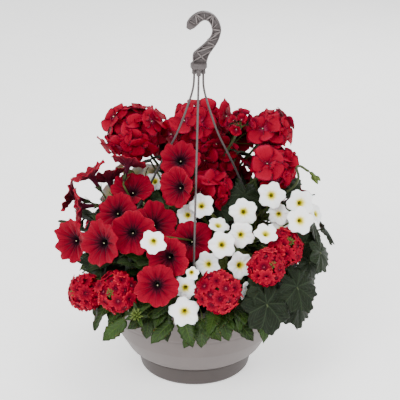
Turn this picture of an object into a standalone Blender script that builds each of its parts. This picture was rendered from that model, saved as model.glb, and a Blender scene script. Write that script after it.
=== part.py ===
"""Flowering hanging basket: a plastic bowl of petunias, calibrachoas, verbenas and a geranium.

Every shape is modelled in the basket's own frame, whose origin is the middle of the drip
saucer's underside, and hangs from an empty that puts the seat of the hook at the world origin.
"""

import math
import random

import bmesh
import bpy
import numpy as np
from mathutils import Matrix, Vector

# Lengths below are in millimetres until MM turns them into Blender's metres.
MM = 0.001
GAP = 0.3
COLLECTION = "flowering_hanging_basket"
CUTTERS = "cutters"

HOOK_SEAT = (14.0, 0.0, 510.8)

RIM_RADIUS = 135.0
RIM_HEIGHT = 140.0
SOIL_TOP = 126.0
ROUND_STEPS = 32

# Turned outlines as (radius, height), from the axis up the inner side, over the rim and down.
BOWL_INSIDE = (
    (0, 5), (71.6, 5), (76.8, 30), (95.6, 40.3), (119.5, 90), (127.5, 130), (128, 141),
)
BOWL_OUTSIDE = (
    (131, 141.6), (135, 140), (135, 131), (130.6, 130.4), (122, 89),
    (113, 64), (98, 37.5), (85.5, 28.4), (79.5, 27.3), (74, 2.3), (0, 2.3),
)
SAUCER_OUTLINE = (
    (0, 2), (74.6, 2), (80.2, 26.8), (83.6, 27), (84, 25), (79.6, 3.5), (76.5, 0), (0, 0),
)

# The hook's crook as (x, z), along its outer and its inner edge, from the tip to the collar.
HOOK_OUTER = (
    (-9.5, 503.5), (-6.2, 512), (2, 519.5), (12, 522.5), (23.5, 519.5), (31.5, 511),
    (35.8, 500), (35, 491.5), (31.5, 481.5), (25.5, 472), (19.8, 463), (16, 450),
)
HOOK_INNER = (
    (-1.6, 498.5), (5.6, 505), (9.2, 508.6), (14, 510.8), (19.2, 508.6), (23.3, 501),
    (23.3, 492.5), (19.7, 485.3), (11.5, 476.8), (3.2, 469.4), (-0.9, 463.3), (-0.5, 450),
)
HOOK_THICKNESS = 9.0
POCKET_DEPTH = 2.6
COLLAR = (6.0, 0.0, 448.5)
COLLAR_RADIUS = 11.0
COLLAR_HEIGHT = 8.5
SOCKET_RING = 7.0
SOCKET_RADIUS = 3.1

STRAND_RADIUS = 1.5
STRAND_BEARINGS = {"front": -91.0, "left": 150.0, "right": 30.0}
SOCKET_BASE = 436.0
# How far a strand lies from the hanger's middle line, as (distance, height).
STRAND_ROUTE = (
    (7, 435.7), (8, 418), (12.7, 400), (24, 368), (36.5, 339), (58, 299), (79, 256), (107, 198), (131, 144),
)
STEM_RADIUS = 5.0
STEM_DEPTH = 22.0
NEARBY = 30.0

FOOT = 0.5
SIGHT = math.radians(22.0)

# Trumpet blooms: length of the tube, its radius at the end, points to a lobe and the lobes' notch.
BLOOM_SHAPES = {
    "petunia": (34.0, 2.2, 4, 0.9),
    "calibrachoa": (17.0, 1.7, 3, 0.86),
}
# Flower heads: number of florets, points to a petal and the radius of the stem.
HEAD_SHAPES = {"verbena": (10, 2, 1.8), "geranium": (7, 3, 2.2)}
# Widths of full-sized blooms; smaller ones have shorter tubes.
FULL_WIDTH = {"petunia": 50.0, "calibrachoa": 30.0}

COLOURS = {
    "bowl_plastic": (0.21, 0.185, 0.18, 0.45, 0.0),
    "saucer_plastic": (0.15, 0.125, 0.12, 0.5, 0.0),
    "hanger_plastic": (0.11, 0.10, 0.10, 0.42, 0.0),
    "soil": (0.03, 0.02, 0.015, 0.95, 0.0),
    "geranium_green": (0.03, 0.06, 0.025, 0.6, 0.0),
    "petunia_green": (0.05, 0.10, 0.03, 0.6, 0.0),
    "calibrachoa_green": (0.16, 0.26, 0.06, 0.55, 0.0),
    "verbena_green": (0.05, 0.11, 0.02, 0.6, 0.0),
    "petunia_bloom": (0.55, 0.02, 0.03, 0.6, 0.0),
    "calibrachoa_bloom": (0.86, 0.86, 0.84, 0.6, 0.0),
    "verbena_bloom": (0.58, 0.01, 0.03, 0.6, 0.0),
    "geranium_bloom": (0.50, 0.005, 0.02, 0.6, 0.0),
}

# Each bloom: place of its mouth (x, y, z), width across, and the heading and pitch it faces.
# Heading -90 faces the front, 180 the left; pitch 90 faces straight up.
PETUNIA_SPRAYS = (
    (((-91, 0, 271), 62, -88, 66), ((-108, -45, 255), 56, -112, 44)),
    (((-83, -95, 244), 60, -92, 22), ((-52, -75, 250), 60, -62, 42)),
    (((-171, -45, 214), 62, -132, 12), ((-126, -80, 223), 60, -124, 14)),
    (((-24, -40, 287), 56, -128, 16), ((-20, 2, 314), 54, -95, 46)),
    (((-3, -70, 223), 56, -84, 40),),
    (((-33, -122, 221), 58, -112, 12),),
    (((-49, -137, 187), 56, -92, 18),),
    (((-149, 12, 292), 52, 166, 58), ((-124, 28, 280), 50, 118, 50)),
    (((-181, 22, 252), 50, 172, 16), ((-166, -8, 246), 50, -166, 2)),
    (((-92, 24, 305), 48, 70, 52),),
    (((128, 52, 262), 60, 22, 38), ((98, 98, 262), 58, 58, 46)),
    (((150, 84, 222), 60, 24, 14), ((112, 124, 226), 60, 50, 16)),
    (((62, 112, 246), 58, 74, 30), ((44, 140, 268), 52, 84, 36)),
    (((64, 146, 188), 58, 66, 8), ((24, 124, 230), 56, 94, 26)),
)

CALIBRACHOA_SPRAYS = (
    (((10, -50, 265), 34, -86, 34), ((-10, -60, 254), 31, -108, 14)),
    (((67, -60, 260), 37, -90, 26), ((63, -86, 238), 36, -84, 24), ((33, -76, 247), 29, -60, 62)),
    (((106, -30, 272), 37, -92, 24), ((117, -44, 249), 30, -96, 12)),
    (((146, -36, 263), 38, -78, 22), ((143, -58, 246), 37, -84, 20), ((170, -34, 246), 28, -30, 26)),
    (((37, -107, 232), 37, -88, 28), ((18, -119, 208), 35, -112, 22)),
    (((96, -77, 236), 32, -70, 58), ((122, -58, 232), 30, -80, 30)),
    (((62, -122, 208), 37, -70, 24), ((74, -137, 175), 32, -48, 4)),
    (((-12, -146, 186), 33, -98, 8), ((-13, -152, 155), 39, -92, 14), ((-3, -134, 206), 22, -84, 18)),
    (((-53, -131, 247), 34, -98, 2),),
    (((-58, 52, 262), 30, -104, 46),),
    (((-92, 92, 258), 37, 128, 34), ((-66, 112, 254), 36, 106, 28), ((-104, 66, 272), 33, 150, 44)),
    (((-126, 96, 228), 38, 140, 16), ((-98, 122, 224), 37, 122, 12)),
    (((-58, 140, 218), 36, 108, 14), ((-30, 132, 238), 35, 96, 30)),
    (((-74, 138, 188), 36, 118, 4), ((-108, 128, 192), 34, 132, 6)),
    (((-14, 148, 204), 34, 90, 12), ((-22, 152, 172), 36, 96, 4)),
)

# Each head: middle of its dome (x, y, z), width across, height, heading and pitch.
VERBENA_HEADS = (
    ((-150, -85, 151), 54, 50, -138, 18),
    ((-104, -122, 168), 58, 52, -112, 22),
    ((33, -151, 183), 64, 60, -86, 18),
    ((96, -120, 205), 52, 46, -66, 34),
    ((123, -98, 224), 58, 46, -60, 44),
    ((146, 108, 164), 58, 52, 36, 16),
    ((18, 158, 158), 62, 56, 84, 14),
    ((-140, 116, 160), 58, 52, 140, 18),
)

GERANIUM_HEADS = (
    ((-86, 62, 335), 88, 72, -112, 52),
    ((8, 72, 336), 84, 70, -90, 44),
    ((36, 40, 298), 78, 60, -86, 40),
    ((106, 62, 336), 60, 58, -60, 46),
    ((114, 22, 298), 74, 54, -56, 42),
    ((-30, 112, 300), 80, 62, 104, 44),
    ((60, 124, 308), 70, 58, 64, 46),
    ((26, 0, 268), 52, 40, -84, 26),
    ((64, 50, 349), 40, 40, -80, 60),
)

# Large round leaves: middle of the blade, width across, heading and pitch of its upper face,
# and the compass roll of its tip from straight down.
GERANIUM_LEAVES = (
    ((96, -146, 164), 74, -62, 30, 0),
    ((138, -112, 172), 70, -48, 34, 12),
    ((142, -96, 140), 66, -44, 14, -10),
    ((174, -52, 196), 58, -24, 20, 10),
    ((166, -14, 222), 56, -8, 30, -14),
    ((158, -62, 162), 54, -30, 10, 20),
    ((124, 10, 278), 58, -60, 62, 30),
    ((70, -4, 262), 56, -72, 52, -20),
    ((36, -22, 246), 46, -90, 40, 10),
    ((166, 30, 196), 58, 12, 26, 0),
    ((-2, 40, 262), 60, -96, 66, 40),
    ((62, 72, 300), 50, 60, 60, 0),
    ((-36, 84, 268), 60, 110, 58, 10),
    ((-64, 62, 292), 52, 140, 62, -30),
    ((-150, 70, 196), 56, 160, 22, 0),
    ((-120, 60, 236), 54, 150, 50, 16),
    ((0, 96, 272), 58, 88, 56, -16),
    ((84, 92, 230), 50, 50, 50, 20),
    ((-170, 34, 190), 56, 172, 14, 8),
)

# Leaves set by hand: base and tip of the blade, width, teeth, heading and pitch of its face.
PLACED_LEAVES = {
    "verbena_foliage_front": (
        ((10, -146, 141), (10, -139, 96), 26, 7, -90, 10),
        ((-92, -132, 132), (-128, -138, 104), 26, 5, -100, 30),
        ((-60, -140, 140), (-66, -152, 112), 22, 5, -95, 24),
        ((36, -140, 138), (48, -150, 108), 24, 5, -82, 26),
    ),
}

# Small leaves of each plant: how many, their length, width and teeth, and how far out they lie.
SMALL_LEAVES = {
    "petunia_foliage_front": (16, 42, 24, 2, (14, 50)),
    "petunia_foliage_back": (14, 42, 24, 2, (14, 46)),
    "calibrachoa_foliage_front": (16, 28, 13, 2, (10, 46)),
    "calibrachoa_foliage_back": (14, 30, 13, 2, (10, 46)),
    "verbena_foliage_front": (15, 44, 28, 5, (14, 60)),
    "verbena_foliage_back": (12, 44, 28, 5, (14, 60)),
}

# A drooping stem of unopened buds: two bends and the end of the stem, then the buds along it.
BUD_STEM = ((132, -9, 271), (142, -9, 306), (158, -13, 301))
BUDS_NAME = "geranium_buds"
LEAF_IN_HAND = "leaf_in_hand"
BUDS = (((4, -1, -2), 5.0), ((10, -3, -9), 5.5), ((15, -4, -19), 5.0))

# The plants: where each stands on the soil, and the half-lengths of the heart of its foliage.
HEARTS = {
    "geranium_foliage": ((4, 26, 184), (30, 26, 38)),
    "petunia_foliage_front": ((-72, -36, 176), (32, 28, 30)),
    "petunia_foliage_back": ((62, 76, 174), (28, 26, 28)),
    "calibrachoa_foliage_front": ((68, -36, 176), (32, 26, 30)),
    "calibrachoa_foliage_back": ((-62, 74, 174), (28, 26, 28)),
    "verbena_foliage_front": ((-4, -82, 156), (36, 16, 20)),
    "verbena_foliage_back": ((4, 102, 156), (32, 16, 20)),
}


def millimetres(point):
    """Blender vector, in metres, of a point given in millimetres."""
    return Vector(point) * MM


def facing(heading, pitch):
    """Unit vector that points along a heading and a pitch in degrees."""
    turn = math.radians(heading)
    lift = math.radians(pitch)
    return Vector((math.cos(turn) * math.cos(lift), math.sin(turn) * math.cos(lift), math.sin(lift)))


def placed(centre, normal, tip=Vector((0.0, 0.0, -1.0)), roll=0.0):
    """Matrix whose +Z is the normal and whose +X is the tip direction laid into the plane."""
    across = tip - normal * tip.dot(normal)
    if across.length < 1e-4:
        across = normal.orthogonal()
    across.normalize()
    across = Matrix.Rotation(math.radians(roll), 3, normal) @ across
    side = normal.cross(across)
    frame = Matrix((across, side, normal)).transposed().to_4x4()
    frame.translation = Vector(centre)
    return frame


# Scene, materials and joining


def clear_scene():
    for thing in list(bpy.data.objects):
        bpy.data.objects.remove(thing, do_unlink=True)
    for group in list(bpy.data.collections):
        bpy.data.collections.remove(group)


def new_collection(name):
    group = bpy.data.collections.new(name)
    bpy.context.scene.collection.children.link(group)
    return group


def material(name):
    red, green, blue, rough, metal = COLOURS[name]
    made = bpy.data.materials.get(name) or bpy.data.materials.new(name)
    made.use_nodes = True
    shader = made.node_tree.nodes["Principled BSDF"]
    shader.inputs["Base Color"].default_value = (red, green, blue, 1.0)
    shader.inputs["Roughness"].default_value = rough
    shader.inputs["Metallic"].default_value = metal
    return made


class Basket:
    """The collections and the empty that the pieces hang from."""

    def __init__(self):
        self.parts = new_collection(COLLECTION)
        self.cutters = new_collection(CUTTERS)
        self.base = bpy.data.objects.new("basket_base", None)
        self.base.location = millimetres(HOOK_SEAT) * -1.0
        self.parts.objects.link(self.base)

    def add(self, name, mesh, colour):
        """Make a named part from a mesh in the basket's frame."""
        part = bpy.data.objects.new(name, mesh)
        mesh.name = name
        mesh.materials.clear()
        mesh.materials.append(material(colour))
        mesh.shade_smooth()
        mesh.set_sharp_from_angle(angle=math.radians(35.0))
        part.parent = self.base
        self.parts.objects.link(part)
        return part

    def cutter(self, name, mesh):
        guide = bpy.data.objects.new(name, mesh)
        guide.hide_render = True
        guide.display_type = "WIRE"
        guide.parent = self.base
        self.cutters.objects.link(guide)
        return guide


def mesh_from_bmesh(shape):
    bmesh.ops.recalc_face_normals(shape, faces=shape.faces)
    if shape.calc_volume(signed=True) < 0.0:
        bmesh.ops.reverse_faces(shape, faces=shape.faces)
    mesh = bpy.data.meshes.new("piece")
    shape.to_mesh(mesh)
    shape.free()
    return mesh


def evaluated_mesh(thing):
    """The object's mesh with its modifiers or bevel applied, its doubled points welded."""
    graph = bpy.context.evaluated_depsgraph_get()
    graph.update()
    mesh = bpy.data.meshes.new_from_object(thing.evaluated_get(graph))
    shape = bmesh.new()
    shape.from_mesh(mesh)
    bmesh.ops.remove_doubles(shape, verts=shape.verts, dist=1e-6)
    bmesh.ops.recalc_face_normals(shape, faces=shape.faces)
    shape.to_mesh(mesh)
    shape.free()
    return mesh


def islands(shape):
    """Connected groups of faces of a bmesh."""
    left = set(shape.faces)
    groups = []
    while left:
        start = left.pop()
        group = [start]
        stack = [start]
        while stack:
            face = stack.pop()
            for edge in face.edges:
                for other in edge.link_faces:
                    if other in left:
                        left.remove(other)
                        group.append(other)
                        stack.append(other)
        groups.append(group)
    return groups


def enclosed(group):
    """Signed volume inside a group of triangles."""
    total = 0.0
    for face in group:
        first, second, third = (vert.co for vert in face.verts)
        total += first.dot(second.cross(third)) / 6.0
    return total


def keep_body(mesh):
    """Triangulate, fill sealed hollows and drop loose scraps, so that one body is left."""
    shape = bmesh.new()
    shape.from_mesh(mesh)
    bmesh.ops.remove_doubles(shape, verts=shape.verts, dist=2e-6)
    bmesh.ops.dissolve_degenerate(shape, edges=shape.edges, dist=1e-6)
    bmesh.ops.triangulate(shape, faces=shape.faces)
    groups = sorted(islands(shape), key=enclosed)
    for group in groups[:-1]:
        bmesh.ops.delete(shape, geom=group, context="FACES")
    loose = [vert for vert in shape.verts if not vert.link_faces]
    bmesh.ops.delete(shape, geom=loose, context="VERTS")
    shape.to_mesh(mesh)
    shape.free()
    return mesh


def fuse(meshes, solver="EXACT"):
    """One body from closed meshes that run into each other."""
    if len(meshes) == 1:
        return keep_body(meshes[0])
    group = new_collection("joining")
    for mesh in meshes[1:]:
        group.objects.link(bpy.data.objects.new("joined", mesh))
    first = bpy.data.objects.new("first", meshes[0])
    bpy.context.scene.collection.objects.link(first)
    union = first.modifiers.new("union", "BOOLEAN")
    union.operation = "UNION"
    union.operand_type = "COLLECTION"
    union.solver = solver
    union.collection = group
    joined = evaluated_mesh(first)
    bpy.data.objects.remove(first, do_unlink=True)
    for thing in list(group.objects):
        bpy.data.objects.remove(thing, do_unlink=True)
    bpy.data.collections.remove(group)
    return keep_body(joined)


# Small shapes that the plants are built of


def stalk(start, end, thick, thin, sides=4):
    """Straight tapered stalk between two points, as a capped cone."""
    start = Vector(start)
    end = Vector(end)
    along = end - start
    shape = bmesh.new()
    bmesh.ops.create_cone(
        shape,
        cap_ends=True,
        segments=sides,
        radius1=thick * MM,
        radius2=thin * MM,
        depth=along.length * MM,
    )
    turn = along.to_track_quat("Z", "Y").to_matrix().to_4x4()
    middle = Matrix.Translation((start + end) * 0.5 * MM)
    bmesh.ops.transform(shape, matrix=middle @ turn, verts=shape.verts)
    return mesh_from_bmesh(shape)


def bent_stalk(points, radius, resolution=0):
    """Stalk along a bent line, as a bevelled curve with filled caps."""
    data = bpy.data.curves.new("stalk", "CURVE")
    data.dimensions = "3D"
    data.bevel_depth = radius * MM
    data.bevel_resolution = resolution
    data.use_fill_caps = True
    line = data.splines.new("POLY")
    line.points.add(len(points) - 1)
    for knot, point in zip(line.points, points):
        knot.co = (*millimetres(point), 1.0)
    carrier = bpy.data.objects.new("stalk", data)
    bpy.context.scene.collection.objects.link(carrier)
    mesh = evaluated_mesh(carrier)
    bpy.data.objects.remove(carrier, do_unlink=True)
    return mesh


def smooth_route(points, count):
    """Evenly numbered points on a smooth curve through the given ones."""
    knots = [Vector(point) for point in points]
    knots = [knots[0] * 2 - knots[1], *knots, knots[-1] * 2 - knots[-2]]
    spans = len(knots) - 3
    route = []
    for step in range(count):
        along = spans * step / (count - 1)
        index = min(int(along), spans - 1)
        t = along - index
        a, b, c, d = knots[index:index + 4]
        square = (2 * a - 5 * b + 4 * c - d) * t * t
        cube = (3 * b - a - 3 * c + d) * t ** 3
        route.append((2 * b + (c - a) * t + square + cube) * 0.5)
    return route


def ring_at(centre, way, radius, count, start):
    """Points of a ring round a centre, square to a direction, the first one towards start."""
    way = Vector(way).normalized()
    first = Vector(start) - way * way.dot(start)
    first = first.normalized() * radius
    return [centre + Matrix.Rotation(step * math.tau / count, 3, way) @ first for step in range(count)]


def ring_normal(ring):
    """Way that a ring of points or vertices turns round."""
    spots = [getattr(point, "co", point) for point in ring]
    return sum((spots[step - 1].cross(spot) for step, spot in enumerate(spots)), Vector())


def bridge(shape, lower, upper):
    """Side faces between two rings of a bmesh, however many points each of them has."""
    middle_low = sum((vert.co for vert in lower), Vector()) / len(lower)
    middle_up = sum((vert.co for vert in upper), Vector()) / len(upper)
    turn_low = ring_normal([vert.co - middle_low for vert in lower])
    turn_up = ring_normal([vert.co - middle_up for vert in upper])
    if turn_low.dot(turn_up) < 0.0:
        upper = list(reversed(upper))
    shift = middle_up - middle_low
    turned_up = min(range(len(upper)), key=lambda step: (upper[step].co - shift - lower[0].co).length)
    upper = [*upper[turned_up:], *upper[:turned_up]]
    low = high = 0
    while low < len(lower) or high < len(upper):
        here, there = lower[low % len(lower)], upper[high % len(upper)]
        if (low + 1) * len(upper) <= (high + 1) * len(lower):
            low += 1
            shape.faces.new((here, lower[low % len(lower)], there))
        else:
            high += 1
            shape.faces.new((here, upper[high % len(upper)], there))


def corolla(shape, frame, width, tube, waist, per_lobe, notch, seed):
    """Trumpet bloom whose mouth faces the frame's +Z: five lobes, a hollow throat and a tube.

    It is added to a bmesh in millimetres, and the ring at the open end of its tube is returned.
    """
    draw = random.Random(seed)
    reach = width / 2
    lobes = 5
    throat = reach * 0.2
    sink = reach * 0.26
    up = Vector((0, 0, 1))
    ahead = Vector((1, 0, 0))
    edge = []
    for lobe in range(lobes):
        sway = draw.uniform(-0.05, 0.05)
        for step in range(per_lobe):
            angle = (lobe + step / per_lobe) * math.tau / lobes
            out = reach * (notch if step == 0 else 1.0 + sway)
            if per_lobe == 4 and step == 2:
                out *= 1.05
            lift = reach * (0.07 if step == 0 else draw.uniform(-0.06, 0.02))
            edge.append(Vector((out * math.cos(angle), out * math.sin(angle), lift)))
    levels = ((-sink, throat), (-sink - 1.6, throat + 0.9), (-tube, waist))
    rings = [ring_at(Vector((0, 0, level)), up, radius, lobes, ahead) for level, radius in levels]
    edge, inner, outer, end = [
        [shape.verts.new(frame @ point) for point in points] for points in (edge, *rings)
    ]
    deep = shape.verts.new(frame @ Vector((0, 0, -sink - reach * 0.45)))
    half = per_lobe // 2
    for lobe in range(lobes):
        following = (lobe + 1) % lobes
        for step in range(per_lobe):
            here = edge[lobe * per_lobe + step]
            beyond = edge[(lobe * per_lobe + step + 1) % len(edge)]
            corner = lobe if step < half else following
            shape.faces.new((inner[corner], here, beyond))
            shape.faces.new((outer[corner], beyond, here))
        turn = edge[lobe * per_lobe + half]
        shape.faces.new((inner[lobe], turn, inner[following]))
        shape.faces.new((outer[lobe], outer[following], turn))
        shape.faces.new((deep, inner[lobe], inner[following]))
    bridge(shape, outer, end)
    return end


def relief_head(width, height, florets, petal_points, seed):
    """Dome of five-petalled florets facing +Z, raised from one ball, with a flat foot."""
    draw = random.Random(seed)
    golden = math.pi * (3.0 - math.sqrt(5.0))
    spread = 0.62
    centres = []
    for index in range(florets):
        level = 1.0 - (index + 0.35) * 2 * spread / florets
        turn = index * golden
        ring = math.sqrt(1.0 - level * level)
        centres.append(Vector((ring * math.cos(turn), ring * math.sin(turn), level)))
    span = 0.93 * math.sqrt(4 * spread / florets)
    points = []
    for centre in centres:
        points.append((centre, 0.88))
        side = centre.orthogonal().normalized()
        start = draw.uniform(0.0, math.tau)
        grow = draw.uniform(0.92, 1.02)
        for step in range(5 * petal_points):
            angle = start + step * math.tau / (5 * petal_points)
            dent = step % petal_points == 0
            away = span * (0.66 if dent else 1.0)
            aim = Matrix.Rotation(angle, 3, centre) @ side
            spot = centre * math.cos(away) + aim * math.sin(away)
            points.append((spot, 0.9 if dent else grow * draw.uniform(0.95, 1.02)))
    for low, out, count in ((-0.62, 0.8, 6), (-0.9, 0.66, 5)):
        ring = math.sqrt(1.0 - low * low)
        for step in range(count):
            angle = step * math.tau / count
            points.append((Vector((ring * math.cos(angle), ring * math.sin(angle), low)), out))
    low = -0.992
    ring = math.sqrt(1.0 - low * low)
    for step in range(5):
        angle = (step + 0.5) * math.tau / 5
        points.append((Vector((ring * math.cos(angle), ring * math.sin(angle), low)), FOOT))
    shape = bmesh.new()
    for spot, _ in points:
        shape.verts.new(spot)
    shape.verts.ensure_lookup_table()
    outs = {vert: out for vert, (_, out) in zip(shape.verts, points)}
    hull = bmesh.ops.convex_hull(shape, input=shape.verts)
    spare = [thing for thing in hull["geom_interior"] if isinstance(thing, bmesh.types.BMVert)]
    bmesh.ops.delete(shape, geom=spare, context="VERTS")
    size = Vector((width / 2, width / 2, height / 2)) * MM
    for vert in shape.verts:
        vert.co = Vector(part * scale for part, scale in zip(vert.co * outs[vert], size))
    return mesh_from_bmesh(shape)


# The bowl, its saucer, the soil and the hanger


def turned(outline, steps=ROUND_STEPS):
    """Mesh of a turned shape from an outline that starts and ends on the axis."""
    data = bpy.data.meshes.new("outline")
    points = [(radius * MM, 0.0, height * MM) for radius, height in outline]
    data.from_pydata(points, [(step, step + 1) for step in range(len(points) - 1)], [])
    carrier = bpy.data.objects.new("outline", data)
    bpy.context.scene.collection.objects.link(carrier)
    screw = carrier.modifiers.new("turn", "SCREW")
    screw.steps = steps
    screw.render_steps = steps
    screw.use_merge_vertices = True
    screw.merge_threshold = 0.0001
    mesh = evaluated_mesh(carrier)
    bpy.data.objects.remove(carrier, do_unlink=True)
    return mesh


def box(low, high, frame=Matrix.Identity(4)):
    """Closed box between two corners, placed by a frame in millimetres."""
    shape = bmesh.new()
    bmesh.ops.create_cube(shape, size=1.0)
    low = Vector(low)
    high = Vector(high)
    for vert in shape.verts:
        local = Vector(middle + part * span for part, middle, span in
                       zip(vert.co, (low + high) / 2, high - low))
        vert.co = (frame @ local) * MM
    return mesh_from_bmesh(shape)


def drum(radius, low, high, centre=(0.0, 0.0), sides=20):
    """Upright cylinder between two heights."""
    return stalk((*centre, low), (*centre, high), radius, radius, sides)


def make_bowl(basket):
    basket.add("pot_bowl", turned(BOWL_INSIDE + BOWL_OUTSIDE), "bowl_plastic")
    basket.add("drip_saucer", turned(SAUCER_OUTLINE), "saucer_plastic")


def make_soil(basket):
    """Soil that fills the bowl, with a plain hole for each plant's stem."""
    side = [(radius - 2 * GAP, height + GAP) for radius, height in BOWL_INSIDE[1:5]]
    lower, upper = BOWL_INSIDE[4:6]
    along = (SOIL_TOP - lower[1]) / (upper[1] - lower[1])
    edge = lower[0] + (upper[0] - lower[0]) * along - 2 * GAP
    outline = [(0.0, SOIL_TOP), (edge, SOIL_TOP), *reversed(side), (0.0, side[0][1])]
    soil = basket.add("potting_soil", turned(outline, ROUND_STEPS // 2), "soil")
    for name, (centre, _) in HEARTS.items():
        hole = drum(STEM_RADIUS + GAP, SOIL_TOP - STEM_DEPTH - GAP, SOIL_TOP + 5, centre[:2], 6)
        cut = soil.modifiers.new(name, "BOOLEAN")
        cut.operation = "DIFFERENCE"
        cut.solver = "EXACT"
        cut.object = basket.cutter("hole_" + name, hole)


def hook_edges(count):
    outer = smooth_route([(x, 0.0, z) for x, z in HOOK_OUTER], count)
    inner = smooth_route([(x, 0.0, z) for x, z in HOOK_INNER], count)
    return outer, inner


def slab(outline, front, back):
    """Closed slab of an outline in the XZ plane between two depths along Y."""
    shape = bmesh.new()
    ring = [shape.verts.new((x * MM, front * MM, z * MM)) for x, z in outline]
    face = shape.faces.new(ring)
    push = bmesh.ops.extrude_face_region(shape, geom=[face])
    moved = [thing for thing in push["geom"] if isinstance(thing, bmesh.types.BMVert)]
    bmesh.ops.translate(shape, vec=(0.0, (back - front) * MM, 0.0), verts=moved)
    return mesh_from_bmesh(shape)


def hook_pockets():
    """Triangular pockets between the zigzag ribs, on both faces of the crook."""
    outer, inner = hook_edges(7)
    half = HOOK_THICKNESS / 2
    pockets = []
    for index in range(len(outer) - 1):
        corners = [outer[index], outer[index + 1], inner[index + 1], inner[index]]
        if index % 2:
            thirds = ((corners[0], corners[1], corners[2]), (corners[0], corners[2], corners[3]))
        else:
            thirds = ((corners[0], corners[1], corners[3]), (corners[1], corners[2], corners[3]))
        for three in thirds:
            heart = sum(three, Vector()) / 3
            shrunk = [heart + (corner - heart) * 0.56 for corner in three]
            flat = [(point.x, point.z) for point in shrunk]
            pockets.append(slab(flat, -half - 1, -half + POCKET_DEPTH))
            pockets.append(slab(flat, half - POCKET_DEPTH, half + 1))
    shape = bmesh.new()
    for pocket in pockets:
        shape.from_mesh(pocket)
    return mesh_from_bmesh(shape)


def make_hook(basket):
    """Crook with ribbed faces, a lobed collar and a socket for each strand."""
    outer, inner = hook_edges(17)
    outline = [(point.x, point.z) for point in [*outer, *reversed(inner)]]
    pieces = [slab(outline, -HOOK_THICKNESS / 2, HOOK_THICKNESS / 2)]
    x, y, z = COLLAR
    pieces.append(drum(COLLAR_RADIUS, z - COLLAR_HEIGHT / 2, z + COLLAR_HEIGHT / 2, (x, y), 12))
    for bearing in STRAND_BEARINGS.values():
        way = facing(bearing, 0.0) * SOCKET_RING
        spot = (x + way.x, y + way.y)
        pieces.append(drum(SOCKET_RADIUS, SOCKET_BASE, z, spot, 8))
    hook = basket.add("hanger_hook", fuse(pieces), "hanger_plastic")
    cut = hook.modifiers.new("pockets", "BOOLEAN")
    cut.operation = "DIFFERENCE"
    cut.solver = "EXACT"
    cut.object = basket.cutter("hook_pockets", hook_pockets())


def strand_points(bearing, count=17):
    """Smooth route of a strand from its socket down to its clip on the rim."""
    way = facing(bearing, 0.0)
    route = []
    for out, height in STRAND_ROUTE:
        lean = COLLAR[0] * (height - RIM_HEIGHT) / (SOCKET_BASE - RIM_HEIGHT)
        route.append(Vector((lean + way.x * out, way.y * out, height)))
    return smooth_route(route, count)


def make_strands(basket):
    """Three strands, each ending in a clip that grips the lip of the rim."""
    for side, bearing in STRAND_BEARINGS.items():
        frame = Matrix.Rotation(math.radians(bearing), 4, "Z")
        pieces = [
            bent_stalk(strand_points(bearing, 13), STRAND_RADIUS, 1),
            box((123.6, -4, 142), (138.4, 4, 145), frame),
            box((135.4, -4, 126), (138.4, 4, 143), frame),
            box((132, -4, 126), (137, 4, 129.8), frame),
            box((123.6, -4, 131), (126.2, 4, 143), frame),
        ]
        basket.add("hanger_strand_" + side, fuse(pieces), "hanger_plastic")


# Room between the plants: each piece is known by balls strung along it


class Room:
    """Balls that stand for what is already placed, so that later pieces keep clear of it."""

    def __init__(self):
        self.points = np.empty((0, 3))
        self.radii = np.empty(0)
        self.owners = np.empty(0, dtype=int)
        self.numbers = {}

    def number(self, owner):
        return self.numbers.setdefault(owner, len(self.numbers))

    def take(self, owner, balls):
        self.points = np.vstack([self.points, [tuple(point) for point, _ in balls]])
        self.radii = np.append(self.radii, [radius for _, radius in balls])
        self.owners = np.append(self.owners, [self.number(owner)] * len(balls))

    def spare(self, balls, but=(), plant=None):
        """Least distance from the balls to what is placed, below zero if they cross.

        Owners in but are left out, and so is the heart of the plant that the balls belong to.
        """
        points = np.array([tuple(point) for point, _ in balls])
        radii = np.array([radius for _, radius in balls])
        low = points.min(axis=0) - NEARBY
        high = points.max(axis=0) + NEARBY
        other = ((self.points > low) & (self.points < high)).all(axis=1)
        for owner in but:
            other &= self.owners != self.number(owner)
        gaps = np.linalg.norm(points[:, None] - self.points[other][None], axis=2)
        least = (gaps - radii[:, None] - self.radii[other][None]).min(initial=NEARBY)
        return min(least, self.from_hearts(plant, points, radii), self.from_bowl(points, radii))

    @staticmethod
    def from_hearts(plant, points, radii):
        least = NEARBY
        for name, (centre, size) in HEARTS.items():
            if name != plant:
                reach = np.linalg.norm((points - centre) / np.array(size), axis=1) - 1.0
                least = min(least, (reach * min(size) - radii).min())
        return least

    @staticmethod
    def from_bowl(points, radii):
        """Distance to the bowl's outer side, its rim and the soil."""
        across = np.hypot(points[:, 0], points[:, 1])
        over = points[:, 2] - RIM_HEIGHT - 2.0
        beside = across - RIM_RADIUS - 1.0 + 0.35 * np.clip(RIM_HEIGHT - points[:, 2], 0, None)
        inside = np.minimum(RIM_RADIUS - 9.0 - across, points[:, 2] - SOIL_TOP)
        return (np.maximum(np.maximum(over, beside), inside) - radii).min()


def along(start, end, radius, step=2.5):
    """Balls along a straight line."""
    start = Vector(start)
    end = Vector(end)
    count = max(2, int((end - start).length / step) + 1)
    return [(start.lerp(end, index / (count - 1)), radius) for index in range(count)]


def along_all(points, radius):
    balls = []
    for start, end in zip(points, points[1:]):
        balls += along(start, end, radius)
    return balls


def tube_length(kind, bloom):
    return BLOOM_SHAPES[kind][0] * min(1.0, bloom[1] / FULL_WIDTH[kind])


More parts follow.
